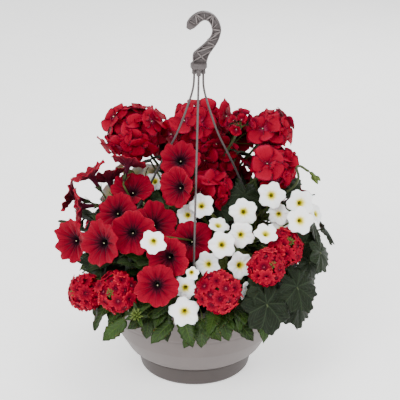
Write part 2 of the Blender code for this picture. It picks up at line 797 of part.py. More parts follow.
def settled(room, owner, flower, balls_of):
    """The flower moved along the line of sight, and made smaller if need be, until it is clear."""
    centre, *sizes, heading, pitch = flower
    back = Vector((0.0, math.cos(SIGHT), -math.sin(SIGHT)))
    ways = [back, -back]
    if math.sin(math.radians(heading)) > 0.0:
        out = facing(heading, pitch)
        ways = [out, back, -back, out.cross(back), back.cross(out)]
    best = None
    for grow in (1.0, 0.94, 0.88, 0.82, 0.76, 0.7):
        for reach in (0, 4, 8, 12, 16, 20, 26, 32, 40):
            for way in ways[:1] if reach == 0 else ways:
                spot = Vector(centre) + way * reach
                moved = (spot, *(size * grow for size in sizes), heading, pitch)
                spare = room.spare(balls_of(moved))
                if best is None or spare > best[0]:
                    best = (spare, moved)
                if spare > 1.2:
                    room.take(owner, balls_of(moved))
                    return moved
    room.take(owner, balls_of(best[1]))
    return best[1]


def bloom_frame(bloom):
    centre, _, heading, pitch = bloom
    return placed(centre, facing(heading, pitch))


def bloom_balls(kind, bloom):
    """Balls over a trumpet bloom: its edge, the middle of its lobes and its tube."""
    reach = bloom[1] / 2
    frame = bloom_frame(bloom)
    balls = []
    rings = ((1.02, 28, 0.0, 1.9), (0.86, 24, -0.04, 2.1), (0.7, 20, -0.09, 2.3), (0.53, 18, -0.15, 2.4),
             (0.36, 13, -0.21, 2.6), (0.18, 7, -0.28, 3.0))
    for share, count, low, radius in rings:
        for step in range(count):
            angle = step * math.tau / count
            out = share * reach
            local = Vector((out * math.cos(angle), out * math.sin(angle), low * reach))
            balls.append((frame @ local, radius))
    tail = frame @ Vector((0, 0, -tube_length(kind, bloom) - 5.0))
    balls += along(frame @ Vector((0, 0, -0.3 * reach)), tail, 3.0)
    return balls


def head_frame(head):
    centre, _, _, heading, pitch = head
    return placed(centre, facing(heading, pitch))


def head_balls(head):
    """Balls that fill a flower head."""
    _, width, height, _, _ = head
    frame = head_frame(head)
    balls = [(frame @ Vector((0, 0, 0.13 * height)), height * 0.35)]
    for level, share, count in ((0.08, 0.37, 18), (0.28, 0.22, 8), (-0.08, 0.33, 16)):
        for step in range(count):
            angle = step * math.tau / count
            local = Vector((width * share * math.cos(angle), width * share * math.sin(angle), level * height))
            balls.append((frame @ local, width * 0.145))
    return balls


# Flowers


def nearest_on_heart(name, point):
    """Point on the heart of a plant's foliage that lies towards a point, and its outward way."""
    centre, size = HEARTS[name]
    centre = Vector(centre)
    size = Vector(size)
    aim = Vector(part / half for part, half in zip(Vector(point) - centre, size)).normalized()
    spot = Vector(part * half for part, half in zip(aim, size))
    return centre + spot


def clear_route(room, plant, flower, foot, way, root, radius):
    """Bent line from a flower's foot to a root on the plant's heart, redrawn until it is clear."""
    draw = random.Random(plant)
    best = None
    for turn in range(450):
        spread = min(2.0 + turn * 0.2, 50.0)
        start = foot + way * draw.uniform(3.0, 9.0)
        drifts = [Vector([draw.uniform(-spread, spread) for _ in range(3)]) for _ in range(2)]
        points = [start, start.lerp(root, 0.35) + drifts[0], start.lerp(root, 0.7) + drifts[1], root]
        if turn % 2 == 0:
            points = [start, start.lerp(root, 0.5) + drifts[0], root]
        spare = min(stem_spare(room, plant, flower, [foot, *points], radius), bend_spare(points))
        if best is None or spare > best[0]:
            best = (spare, [foot, *points])
        if spare > 0.7:
            break
    return best


def bend_spare(points):
    """Low if a line turns back on itself anywhere."""
    legs = [(after - before).normalized() for before, after in zip(points, points[1:])]
    return min(3.0 * (one.dot(other) + 0.4) for one, other in zip(legs, legs[1:]))


def stem_spare(room, plant, flower, points, radius):
    """Room round a stem, which may touch its flower at the foot and its plant at the root."""
    foot, root = points[0], points[-1]
    groups = {}
    for ball in along_all(points, radius):
        but = (flower,) if (ball[0] - foot).length < 7.0 else ()
        if (ball[0] - root).length < 9.0:
            but += (plant,)
        groups.setdefault(but, []).append(ball)
    return min(room.spare(balls, but, plant) for but, balls in groups.items())


def stalk_line(tail, bloom, spot):
    """Line from a bloom's tail to a fork, with an elbow if it would leave the tube askew."""
    front = facing(*bloom[2:4])
    if (tail - spot).normalized().dot(front) > 0.5:
        return [spot, tail]
    return [spot, tail - front * 4.5, tail]


def fork_of(room, owner, kind, blooms, tails, heart):
    """Point behind a spray's blooms where their stalks meet, clear of other pieces."""
    middle = sum(tails, Vector()) / len(tails)
    back = nearest_on_heart(heart, middle) - middle
    draw = random.Random(owner)
    shapes = [Room() for _ in blooms]
    for index, bloom in enumerate(blooms):
        for place, shape in enumerate(shapes):
            if place != index:
                shape.take(owner, bloom_balls(kind, bloom))
    best = None
    for turn in range(900):
        spread = turn * 0.03
        drift = Vector([draw.uniform(-spread, spread) for _ in range(3)])
        spot = middle + back * draw.uniform(0.05, 0.5) + drift
        lines = [stalk_line(tail, bloom, spot) for tail, bloom in zip(tails, blooms)]
        ways = [(line[1] - spot).normalized() for line in lines]
        home = nearest_on_heart(heart, spot) - spot
        ways.append(home.normalized())
        tight = max(first.dot(second) for step, first in enumerate(ways) for second in ways[:step])
        spare = min(2.0, 12.0 * (0.45 - tight), home.length - 9.0)
        spare = min(spare, min((line[1] - spot).length for line in lines) - 5.5)
        for line, shape in zip(lines, shapes):
            stalk_balls = along_all(line, 1.8)
            spare = min(spare, room.spare(stalk_balls, (owner,)), shape.spare(stalk_balls))
            if len(line) == 3:
                spare = min(spare, bend_spare(line))
        if best is None or spare > best[0]:
            best = (spare, spot)
        if spare > 0.8:
            break
    return best[1]


def make_spray(basket, room, name, blooms, kind, heart):
    """Blooms whose tubes meet at a knob, and the green stem's end that the knob sits on."""
    tube, waist, per_lobe, notch = BLOOM_SHAPES[kind]
    shape = bmesh.new()
    ends = []
    tails = []
    for index, bloom in enumerate(blooms):
        frame = bloom_frame(bloom) @ Matrix.Rotation(index * 0.4 + 0.3, 4, "Z")
        length = tube_length(kind, bloom)
        ends.append(corolla(shape, frame, bloom[1], length, waist, per_lobe, notch, f"{name}{index}"))
        tails.append(frame @ Vector((0, 0, -length)))
    if len(blooms) == 1:
        back = (tails[0] - Vector(blooms[0][0])).normalized()
        home = (nearest_on_heart(heart, tails[0]) - tails[0]).normalized()
        ways = [(back + lean).normalized() for lean in (home, home * 0.5, Vector(), back.cross(home) * 0.7,
                                                        home.cross(back) * 0.7, home * 2.0)]
        way = max(ways, key=lambda one: room.spare(
            along(tails[0], tails[0] + one * 9.0, 1.8), (name,)))
        foot = tails[0] + way * 5.0
        last = [shape.verts.new(spot) for spot in ring_at(foot, way, 1.5, 3, back.orthogonal())]
        bridge(shape, ends[0], last)
        shape.faces.new(last)
        room.take(name, along(tails[0], foot, 1.8))
    else:
        fork = fork_of(room, name, kind, blooms, tails, heart)
        way = (nearest_on_heart(heart, fork) - fork).normalized()
        foot = fork + way * 5.0
        knob = bmesh.ops.create_icosphere(
            shape, subdivisions=1, radius=2.6, matrix=Matrix.Translation(fork))
        free = list({face for vert in knob["verts"] for face in vert.link_faces})
        free.sort(key=lambda face: tuple(face.calc_center_median()))
        last = [shape.verts.new(spot) for spot in ring_at(foot, way, 1.5, 3, way.orthogonal())]
        shape.faces.new(last)
        lines = [stalk_line(tail, bloom, fork) for tail, bloom in zip(tails, blooms)]
        for ring, line in ((last, [fork, foot]), *zip(ends, lines)):
            aim = (line[1] - fork).normalized()
            best = max(free, key=lambda face: (face.calc_center_median() - fork).dot(aim))
            free.remove(best)
            corners = list(best.verts)
            shape.faces.remove(best)
            if len(line) == 3:
                lean = (line[2] - line[1]).normalized() + aim
                spots = ring_at(line[1], lean, 1.4, 3, corners[0].co - fork)
                elbow = [shape.verts.new(spot) for spot in spots]
                bridge(shape, corners, elbow)
                corners = elbow
            bridge(shape, corners, ring)
            room.take(name, along_all(line, 1.8))
    bmesh.ops.scale(shape, vec=(MM, MM, MM), verts=shape.verts)
    basket.add(name, mesh_from_bmesh(shape), kind + "_bloom")
    return foot + way * GAP, way


def make_head(basket, name, head, florets, petal_points, colour):
    """Flower head on its flat foot, and the place and way of the stem's end beneath it."""
    _, width, height, _, _ = head
    frame = head_frame(head)
    mesh = relief_head(width, height, florets, petal_points, name)
    mesh.transform(Matrix.Translation(frame.translation * MM) @ frame.to_3x3().to_4x4())
    basket.add(name, mesh, colour)
    way = -(frame.to_3x3() @ Vector((0, 0, 1)))
    foot = frame.translation + way * (0.992 * FOOT * height / 2 + GAP)
    return foot, way


# Foliage


class Heart:
    """Small heart of a plant's foliage, out of whose faces its stems and leaves are drawn.

    The stem under it stands in its hole in the soil.
    """

    def __init__(self, name):
        self.name = name
        self.centre = Vector(HEARTS[name][0])
        size = Vector(HEARTS[name][1])
        ball = bmesh.new()
        bmesh.ops.create_icosphere(ball, subdivisions=2, radius=1.0)
        scale = Matrix.Diagonal((*(size * MM), 1.0))
        shift = Matrix.Translation(self.centre * MM)
        bmesh.ops.transform(ball, matrix=shift @ scale, verts=ball.verts)
        x, y, z = self.centre
        stem = drum(STEM_RADIUS, SOIL_TOP - STEM_DEPTH, z, (x, y), 6)
        self.shape = bmesh.new()
        self.shape.from_mesh(fuse([mesh_from_bmesh(ball), stem]))
        self.free = [face for face in self.shape.faces if face.calc_center_median().z > (z - 0.55 * size.z) * MM]

    def roots(self, target):
        """Free faces in the order in which a stem to a target would use them."""
        goal = Vector(target) * MM

        def cost(face):
            reach = goal - face.calc_center_median()
            askew = max(0.0, 0.5 - reach.normalized().dot(face.normal))
            return reach.length + askew * 60.0 * MM

        return sorted(self.free, key=cost)

    def open_face(self, face, radius):
        """Ring of three points in the middle of a free face."""
        self.free.remove(face)
        middle = face.calc_center_median()
        corners = list(face.verts)
        ring = []
        for corner in corners:
            spot = middle + (corner.co - middle).normalized() * radius * MM
            ring.append(self.shape.verts.new(spot))
        self.shape.faces.remove(face)
        bridge(self.shape, corners, ring)
        return ring

    def draw_ring(self, ring, place, way, radius):
        """Next ring of a stem, at a place and square to its way."""
        middle = sum((vert.co for vert in ring), Vector()) / 3
        spots = ring_at(Vector(place) * MM, way, radius * MM, 3, ring[0].co - middle)
        made = [self.shape.verts.new(spot) for spot in spots]
        bridge(self.shape, ring, made)
        return made

    def stem(self, room, flower, foot, way, radius):
        """Stem from the heart up to a foot that it meets square, bent where it has to be."""
        foot = Vector(foot)
        best = None
        for face in self.roots(foot)[:6]:
            root = face.calc_center_median() / MM
            points = [foot, root]
            spare = stem_spare(room, self.name, flower, points, radius)
            if (foot - root).normalized().dot(-way) < 0.75 or spare < 0.8:
                spare, points = clear_route(room, self.name, flower, foot, way, root, radius)
            if best is None or spare > best[0]:
                best = (spare, points, face)
            if spare > 0.7:
                break
        _, points, face = best
        ring = self.open_face(face, radius + 0.4)
        points.reverse()
        room.take(self.name, along_all(points, radius))
        for before, place, after in zip(points, points[1:-1], points[2:]):
            ring = self.draw_ring(ring, place, after - before, radius)
        return self.draw_ring(ring, foot, -way, radius)

    def flower_stem(self, room, flower, foot, way, radius):
        ring = self.stem(room, flower, foot, way, radius)
        self.shape.faces.new(ring)

    def placed_leaf(self, room, base, tip, width, teeth, normal):
        """Pointed leaf between two places, on a stalk from the heart."""
        base = Vector(base)
        reach = Vector(tip) - base
        ring = self.stem(room, self.name + "_leaf", base, -reach.normalized(), 1.0)
        normal = (normal - reach * normal.dot(reach) / reach.length_squared).normalized()
        frame = placed(base, normal, reach)
        room.take(self.name, leaf_balls(frame, reach.length, width))
        self.blade(ring, frame, 2.0, reach.length - 2.0, width, teeth)

    def long_leaf(self, room, length, width, teeth, span, draw):
        """Pointed leaf on its stalk, drawn out of a free face if there is room for it."""
        face = draw.choice(self.free)
        root = face.calc_center_median() / MM
        outward = (root - self.centre).normalized()
        aim = Vector((root.x, root.y, 0.0)).normalized()
        tip = (outward + aim * 0.5 + Vector((0, 0, draw.uniform(-0.7, 0.3)))).normalized()
        normal = (Vector((0, 0, 1.2)) + aim * draw.uniform(0.2, 1.0)).normalized()
        normal = (normal - tip * normal.dot(tip)).normalized()
        stem = draw.uniform(*span)
        frame = placed(root, normal, tip)
        balls = leaf_balls(frame @ Matrix.Translation((stem, 0, 0)), length, width)
        balls += along(root + tip * 5.0, frame @ Vector((stem, 0, 0)), 1.0)
        if room.spare(balls, (), self.name) < 0.9:
            return False
        room.take(self.name, balls)
        ring = self.open_face(face, 1.3)
        self.blade(ring, frame, stem, length, width, teeth)
        return True

    def blade(self, ring, frame, start, length, width, teeth):
        """Toothed blade along the frame's +X, drawn out of a ring of three points."""
        side = [(start * 0.9, 0.9)]
        for step in range(1, teeth + 1):
            share = step / (teeth + 1)
            out = width / 2 * math.sin(math.pi * share ** 0.8)
            if teeth > 3 and step % 2 == 0:
                out *= 0.68
            side.append((start + length * share, out))
        rim = [(x, -y, 0.14 * y) for x, y in side]
        rim += [(start + length, 0.0, -0.08 * length)]
        rim += [(x, y, 0.14 * y) for x, y in reversed(side)]
        middle = start + length * 0.42
        top = self.shape.verts.new((frame @ Vector((middle, 0.0, 0.3))) * MM)
        under = self.shape.verts.new((frame @ Vector((middle, 0.0, -1.2))) * MM)
        edge = [self.shape.verts.new((frame @ Vector(point)) * MM) for point in rim]
        sideways = frame.to_3x3() @ Vector((0, 1, 0))
        upright = frame.to_3x3() @ Vector((0, 0, 1))
        below, *others = sorted(ring, key=lambda vert: vert.co.dot(upright))
        right, left = sorted(others, key=lambda vert: vert.co.dot(sideways))
        upper = [right, *edge, left]
        for here, beyond in zip(upper, upper[1:]):
            self.shape.faces.new((top, here, beyond))
            self.shape.faces.new((under, beyond, here))
        self.shape.faces.new((top, left, right))
        self.shape.faces.new((under, right, below))
        self.shape.faces.new((under, below, left))

    def buds(self, room, route, buds):
        """Drooping stem that ends in a knot of green buds, each an eight-sided drop."""
        bottom, top, end = (Vector(point) for point in route)
        ring = self.stem(room, BUDS_NAME, bottom, (bottom - top).normalized(), 1.5)
        ring = self.draw_ring(ring, top, end - bottom, 1.4)
        ring = self.draw_ring(ring, end, end - top, 1.4)
        for step, (shift, size) in enumerate(buds):
            middle = end + Vector(shift)
            way = (middle - end).normalized() if step else (end - top).normalized()
            neck = self.draw_ring(ring, middle - way * size * 0.6, way, 1.0)
            wide = self.draw_ring(neck, middle, way, size * 0.6)
            ring = self.draw_ring(wide, middle + way * size * 0.7, way, 1.2)
        self.shape.faces.new(ring)

    def round_leaf(self, room, frame, width, seed):
        """Thick lobed leaf of a geranium, its stalk under the middle and its tip along +X."""
        draw = random.Random(seed)
        reach = width / 2
        rim = []
        for step in range(14):
            angle = step * math.tau / 14
            lobe = step % 2 == 0
            out = reach * (1.0 + 0.12 * math.cos(angle)) * (1.0 if lobe else 0.86)
            if step == 7:
                out = reach * 0.3
            lift = reach * (draw.uniform(-0.1, 0.0) if lobe else draw.uniform(0.06, 0.14))
            rim.append(Vector((out * math.cos(angle), out * math.sin(angle), lift)))
        normal = frame.to_3x3() @ Vector((0, 0, 1))
        ring = self.stem(room, LEAF_IN_HAND, frame @ Vector((0, 0, -0.9)), -normal, 1.5)
        top = [self.shape.verts.new((frame @ (point + Vector((0, 0, 0.4)))) * MM) for point in rim]
        bottom = [self.shape.verts.new((frame @ (point - Vector((0, 0, 0.4)))) * MM) for point in rim]
        heart = self.shape.verts.new((frame @ Vector((0, 0, 0.6))) * MM)
        count = len(rim)
        local = frame.inverted()
        turns = []
        for vert in ring:
            spot = local @ (vert.co / MM)
            turns.append(math.atan2(spot.y, spot.x) % math.tau)
        near = [min(range(3), key=lambda index: abs((turns[index] - step * math.tau / count + math.pi)
                                                    % math.tau - math.pi)) for step in range(count)]
        for step in range(count):
            ahead = (step + 1) % count
            self.shape.faces.new((heart, top[step], top[ahead]))
            self.shape.faces.new((top[step], bottom[step], bottom[ahead]))
            self.shape.faces.new((top[step], bottom[ahead], top[ahead]))
            self.shape.faces.new((ring[near[step]], bottom[ahead], bottom[step]))
            if near[step] != near[ahead]:
                self.shape.faces.new((ring[near[step]], ring[near[ahead]], bottom[ahead]))


def leaf_balls(frame, length, width):
    """Balls over a leaf that lies from its base along +X."""
    balls = []
    for share in (0.08, 0.26, 0.44, 0.62, 0.8, 0.97):
        half = width * 0.44 * math.sin(math.pi * share ** 0.8)
        for side in (-1.0, -0.5, 0.0, 0.5, 1.0):
            balls.append((frame @ Vector((length * share, side * half, 0.0)), 2.2))
    return balls


def round_leaf_balls(frame, width):
    balls = [(frame.translation.copy(), 2.4)]
    for share, count in ((0.18, 6), (0.36, 12), (0.53, 18)):
        for step in range(count):
            angle = step * math.tau / count
            local = Vector((width * share * math.cos(angle), width * share * math.sin(angle), 0.0))
            balls.append((frame @ local, 2.6))
    return balls


def make_round_leaves(room, heart):
    """The geranium's large leaves, each moved or made smaller a little until it is clear."""
    back = Vector((0.0, math.cos(SIGHT), -math.sin(SIGHT)))
    for index, (centre, width, heading, pitch, roll) in enumerate(GERANIUM_LEAVES):
        normal = facing(heading, pitch)
        best = None
        for grow in (1.0, 0.9, 0.8, 0.7, 0.6, 0.5):
            for shift in (0, -4, 4, -8, 8, -12, 12, -16, 16, -22, 22, -30, 30):
                for way in (normal, back):
                    frame = placed(Vector(centre) + way * shift, normal, roll=roll)
                    balls = round_leaf_balls(frame, width * grow)
                    spare = room.spare(balls, (), heart.name)
                    if best is None or spare > best[0]:
                        best = (spare, frame, width * grow)
            if best[0] > 0.4:
                break
        _, frame, width = best
        room.take(LEAF_IN_HAND, round_leaf_balls(frame, width))
        heart.round_leaf(room, frame, width, index)
        room.take(heart.name, round_leaf_balls(frame, width))


def make_small_leaves(room, heart):
    """Leaves set round the heart of a plant by a seeded draw, where there is room for them."""
    count, length, width, teeth, span = SMALL_LEAVES[heart.name]
    draw = random.Random(heart.name)
    made = 0
    for _ in range(60 * count):
        grow = draw.uniform(0.8, 1.15)
        if made < count and heart.free:
            made += heart.long_leaf(room, length * grow, width * grow, teeth, span, draw)


def nearest_heart(kind, place):
    """The plant of a kind whose foliage lies nearest to a place."""
    plants = [name for name in HEARTS if name.startswith(kind)]
    return min(plants, key=lambda name: (Vector(HEARTS[name][0]) - Vector(place)).length)


def make_flowers(basket, room):
    """All the flowers, and for each plant the ends of the stems that carry them."""
    heads = {"verbena": VERBENA_HEADS, "geranium": GERANIUM_HEADS}
    sprays = {"petunia": PETUNIA_SPRAYS, "calibrachoa": CALIBRACHOA_SPRAYS}
    feet = {name: [] for name in HEARTS}
    set_heads = []
    set_sprays = []
    for kind, table in heads.items():
        for number, head in enumerate(table, 1):
            name = f"{kind}_head_{number:02d}"
            set_heads.append((kind, name, settled(room, name, head, head_balls)))
    for kind, table in sprays.items():
        for number, blooms in enumerate(table, 1):
            name = f"{kind}_spray_{number:02d}"
            moved = [settled(room, name, bloom, lambda one: bloom_balls(kind, one)) for bloom in blooms]
            set_sprays.append((kind, name, moved))
    for kind, name, blooms in set_sprays:
        heart = nearest_heart(kind, blooms[0][0])
        feet[heart].append((name, *make_spray(basket, room, name, blooms, kind, heart), 1.3))
    for kind, name, head in set_heads:
        florets, petal_points, radius = HEAD_SHAPES[kind]
        end = make_head(basket, name, head, florets, petal_points, kind + "_bloom")
        feet[nearest_heart(kind, head[0])].append((name, *end, min(radius, head[1] * 0.03)))
    return feet


def make_plants(basket):
    room = Room()
    for side, bearing in STRAND_BEARINGS.items():
        room.take("strand_" + side, along_all(strand_points(bearing), 2.4))
        clip = facing(bearing, 0.0) * (RIM_RADIUS - 3.0)
        room.take("strand_" + side, [((clip.x, clip.y, RIM_HEIGHT + 1.0), 9.0)])
    for name, (centre, _) in HEARTS.items():
        x, y, z = centre
        room.take(name, along((x, y, SOIL_TOP), (x, y, z), STEM_RADIUS + GAP))
    room.take(BUDS_NAME, along_all([Vector(point) for point in BUD_STEM], 2.0))
    feet = make_flowers(basket, room)
    hearts = {owner: Heart(owner) for owner in HEARTS}
    for owner, heart in hearts.items():
        for flower, foot, way, radius in feet[owner]:
            heart.flower_stem(room, flower, foot, way, radius)
    for owner, heart in hearts.items():
        for base, tip, width, teeth, heading, pitch in PLACED_LEAVES.get(owner, ()):
            heart.placed_leaf(room, base, tip, width, teeth, facing(heading, pitch))
    hearts["geranium_foliage"].buds(room, BUD_STEM, BUDS)
    make_round_leaves(room, hearts["geranium_foliage"])
    for owner, heart in hearts.items():
        if owner in SMALL_LEAVES:
            make_small_leaves(room, heart)
        basket.add(owner, keep_body(mesh_from_bmesh(heart.shape)), owner.split("_")[0] + "_green")


def main():
    clear_scene()
    basket = Basket()
    make_bowl(basket)
    make_soil(basket)
    make_hook(basket)
    make_strands(basket)
    make_plants(basket)


if __name__ == "__main__":
    main()
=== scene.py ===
"""Flowering hanging basket, dressed over its CAD frame.

Sizes are in millimetres from the middle of the bowl's foot, as in the part's source, and
become metres where a mesh is made. The hanger's crook hangs from the world's origin.
"""

import math
import random
from collections import namedtuple

import bpy
import numpy as np
from bpy.props import FloatProperty, FloatVectorProperty, PointerProperty
from mathutils import Matrix, Vector, noise
from mathutils.kdtree import KDTree

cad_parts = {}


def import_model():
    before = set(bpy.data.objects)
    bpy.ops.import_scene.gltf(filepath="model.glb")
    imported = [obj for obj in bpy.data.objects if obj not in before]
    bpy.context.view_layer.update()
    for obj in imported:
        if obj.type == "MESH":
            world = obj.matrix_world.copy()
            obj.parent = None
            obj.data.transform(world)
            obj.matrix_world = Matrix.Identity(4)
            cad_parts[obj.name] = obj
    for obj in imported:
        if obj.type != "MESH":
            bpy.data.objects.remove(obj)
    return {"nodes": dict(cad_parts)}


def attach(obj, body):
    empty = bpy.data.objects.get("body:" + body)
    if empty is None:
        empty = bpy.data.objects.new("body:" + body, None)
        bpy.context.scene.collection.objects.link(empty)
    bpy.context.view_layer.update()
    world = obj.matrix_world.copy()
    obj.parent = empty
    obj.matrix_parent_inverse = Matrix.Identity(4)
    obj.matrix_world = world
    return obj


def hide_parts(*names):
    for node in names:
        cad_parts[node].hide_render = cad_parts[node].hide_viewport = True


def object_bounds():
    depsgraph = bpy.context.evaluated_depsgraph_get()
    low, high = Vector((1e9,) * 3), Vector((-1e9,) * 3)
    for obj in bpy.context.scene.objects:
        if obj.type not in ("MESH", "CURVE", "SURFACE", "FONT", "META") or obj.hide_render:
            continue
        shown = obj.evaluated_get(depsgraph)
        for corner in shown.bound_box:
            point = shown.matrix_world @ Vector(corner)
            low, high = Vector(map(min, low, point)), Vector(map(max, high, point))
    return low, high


bl_info = {
    "name": "Flowering hanging basket",
    "version": (1, 0, 0),
    "blender": (4, 5, 0),
    "location": "3D View > Sidebar > Basket",
    "description": "Dresses the frame of a flowering hanging basket, piece by piece",
    "category": "Object",
}

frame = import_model()
CAD_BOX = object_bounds()

MM = 0.001
HOOK_SEAT = Vector((14.0, 0.0, 510.8))
# Turn from one floret to the next in a head.
GOLDEN = math.pi * (3.0 - math.sqrt(5.0))

SOIL_TOP = 126.0
RIM_HEIGHT = 140.0
# Leaves keep out of the ring between these radii up to the rim, and off the soil inside it.
RIM_CLEAR = (122.0, 140.0)
# How far past the frame's box a leaf's tip may reach.
BOX_SPARE = 4.0
# Depth of the space that a flower faces, in which no leaf grows.
OPEN_AIR = 75.0

# Turned outlines as (radius, height), from the axis up the inner side, over the rim and down.
BOWL_OUTLINE = (
    (0, 5), (71.6, 5), (76.8, 30), (95.6, 40.3), (119.5, 90), (127.5, 130), (128, 141),
    (131, 141.6), (135, 140), (135, 131), (130.6, 130.4), (123.2, 93.5), (122.0, 91.0), (121.9, 88.4),
    (113, 64), (98, 37.5), (88, 29.6), (85.6, 29.8), (83.8, 28.2), (79.5, 27.3), (74, 2.3), (0, 2.3),
)
SAUCER_OUTLINE = (
    (0, 2), (74.6, 2), (80.2, 26.8), (83.6, 27), (84, 25), (79.6, 3.5), (76.5, 0), (0, 0),
)

# The hook's crook as (x, z), along its outer and its inner edge, from the tip to the collar.
HOOK_OUTER = (
    (-12.0, 501.6), (-7.4, 511.4), (1.6, 519.4), (12, 522.5), (23.5, 519.5), (31.5, 511),
    (35.8, 500), (35, 491.5), (31.5, 481.5), (25.5, 472), (19.8, 463), (16, 450),
)
HOOK_INNER = (
    (-3.8, 496.6), (4.6, 504.2), (9.0, 508.6), (14, 510.8), (19.2, 508.6), (23.3, 501),
    (23.3, 492.5), (19.7, 485.3), (11.5, 476.8), (3.0, 469.6), (-2.0, 463.6), (-2.0, 450),
)
# Middle of the collar below the crook, and the bearings of the strands round it.
COLLAR = (6.0, 0.0, 448.5)
STRAND_BEARINGS = {"front": -91.0, "left": 150.0, "right": 30.0}
SOCKET_BASE = 436.0
# A strand's route as (distance out, height), from its socket to its clip.
STRAND_ROUTE = (
    (7, 435.7), (8, 418), (12.7, 400), (24, 368), (36.5, 339), (58, 299), (79, 256), (107, 198),
    (131, 144),
)

# Line of sight of the photograph, along which crowded flowers were moved apart.
SIGHT = math.radians(22.0)
BACK = Vector((0.0, math.cos(SIGHT), -math.sin(SIGHT)))

# Sprays of trumpet blooms, as in the part's source. Each bloom: middle of its mouth,
# width across, heading and pitch of the way that it faces.
PETUNIA_SPRAYS = (
    (((-91, 0, 271), 62, -88, 66), ((-108, -45, 255), 56, -112, 44)),
    (((-83, -95, 244), 60, -92, 22), ((-52, -75, 250), 60, -62, 42)),
    (((-171, -45, 214), 62, -132, 12), ((-126, -80, 223), 60, -124, 14)),
    (((-24, -40, 287), 56, -128, 16), ((-20, 2, 314), 54, -95, 46)),
    (((-3, -70, 223), 56, -84, 40),),
    (((-33, -122, 221), 58, -112, 12),),
    (((-49, -137, 187), 56, -92, 18),),
    (((-149, 12, 292), 52, 166, 58), ((-124, 28, 280), 50, 118, 50)),
    (((-181, 22, 252), 50, 172, 16), ((-166, -8, 246), 50, -166, 2)),
    (((-92, 24, 305), 48, 70, 52),),
    (((128, 52, 262), 60, 22, 38), ((98, 98, 262), 58, 58, 46)),
    (((150, 84, 222), 60, 24, 14), ((112, 124, 226), 60, 50, 16)),
    (((62, 112, 246), 58, 74, 30), ((44, 140, 268), 52, 84, 36)),
    (((64, 146, 188), 58, 66, 8), ((24, 124, 230), 56, 94, 26)),
)

CALIBRACHOA_SPRAYS = (
    (((10, -50, 265), 34, -86, 34), ((-10, -60, 254), 31, -108, 14)),
    (((67, -60, 260), 37, -90, 26), ((63, -86, 238), 36, -84, 24), ((33, -76, 247), 29, -60, 62)),
    (((106, -30, 272), 37, -92, 24), ((117, -44, 249), 30, -96, 12)),
    (((146, -36, 263), 38, -78, 22), ((143, -58, 246), 37, -84, 20), ((170, -34, 246), 28, -30, 26)),
    (((37, -107, 232), 37, -88, 28), ((18, -119, 208), 35, -112, 22)),
    (((96, -77, 236), 32, -70, 58), ((122, -58, 232), 30, -80, 30)),
    (((62, -122, 208), 37, -70, 24), ((74, -137, 175), 32, -48, 4)),
    (((-12, -146, 186), 33, -98, 8), ((-13, -152, 155), 39, -92, 14), ((-3, -134, 206), 22, -84, 18)),
    (((-53, -131, 247), 34, -98, 2),),
    (((-58, 52, 262), 30, -104, 46),),
    (((-92, 92, 258), 37, 128, 34), ((-66, 112, 254), 36, 106, 28), ((-104, 66, 272), 33, 150, 44)),
    (((-126, 96, 228), 38, 140, 16), ((-98, 122, 224), 37, 122, 12)),
    (((-58, 140, 218), 36, 108, 14), ((-30, 132, 238), 35, 96, 30)),
    (((-74, 138, 188), 36, 118, 4), ((-108, 128, 192), 34, 132, 6)),
    (((-14, 148, 204), 34, 90, 12), ((-22, 152, 172), 36, 96, 4)),
)
HALF_OPEN = ("calibrachoa_spray_08", 2)
# Length of a full bloom's tube, the bloom's width at that length, and the tube's radius at its foot.
TUBES = {"petunia": (34.0, 50.0, 2.0), "calibrachoa": (17.0, 30.0, 1.5)}

# The heading and pitch that each flower head faces; its place and size are the frame's.
HEAD_FACINGS = {
    "verbena": ((-138, 18), (-112, 22), (-86, 18), (-66, 34), (-60, 44), (36, 16), (84, 14), (140, 18)),
    "geranium": ((-112, 52), (-90, 44), (-86, 40), (-60, 46), (-56, 42), (104, 44), (64, 46), (-84, 26),
                 (-80, 60)),
}
# Shares of a head's width and height that its CAD solid spans, and its foot's share below the middle.
HEAD_SPAN = 0.955
HEAD_RISE = 0.775
HEAD_FOOT = 0.297
TUFTED = ("verbena_head_01", "verbena_head_02", "verbena_head_04", "verbena_head_05")
HALF_OPEN_HEAD = "geranium_head_09"

# The plants: middle and half-lengths of the heart that their stems grow from.
HEARTS = {
    "geranium_foliage": ((4, 26, 184), (30, 26, 38)),
    "petunia_foliage_front": ((-72, -36, 176), (32, 28, 30)),
    "petunia_foliage_back": ((62, 76, 174), (28, 26, 28)),
    "calibrachoa_foliage_front": ((68, -36, 176), (32, 26, 30)),
    "calibrachoa_foliage_back": ((-62, 74, 174), (28, 26, 28)),
    "verbena_foliage_front": ((-4, -82, 156), (36, 16, 20)),
    "verbena_foliage_back": ((4, 102, 156), (32, 16, 20)),
}

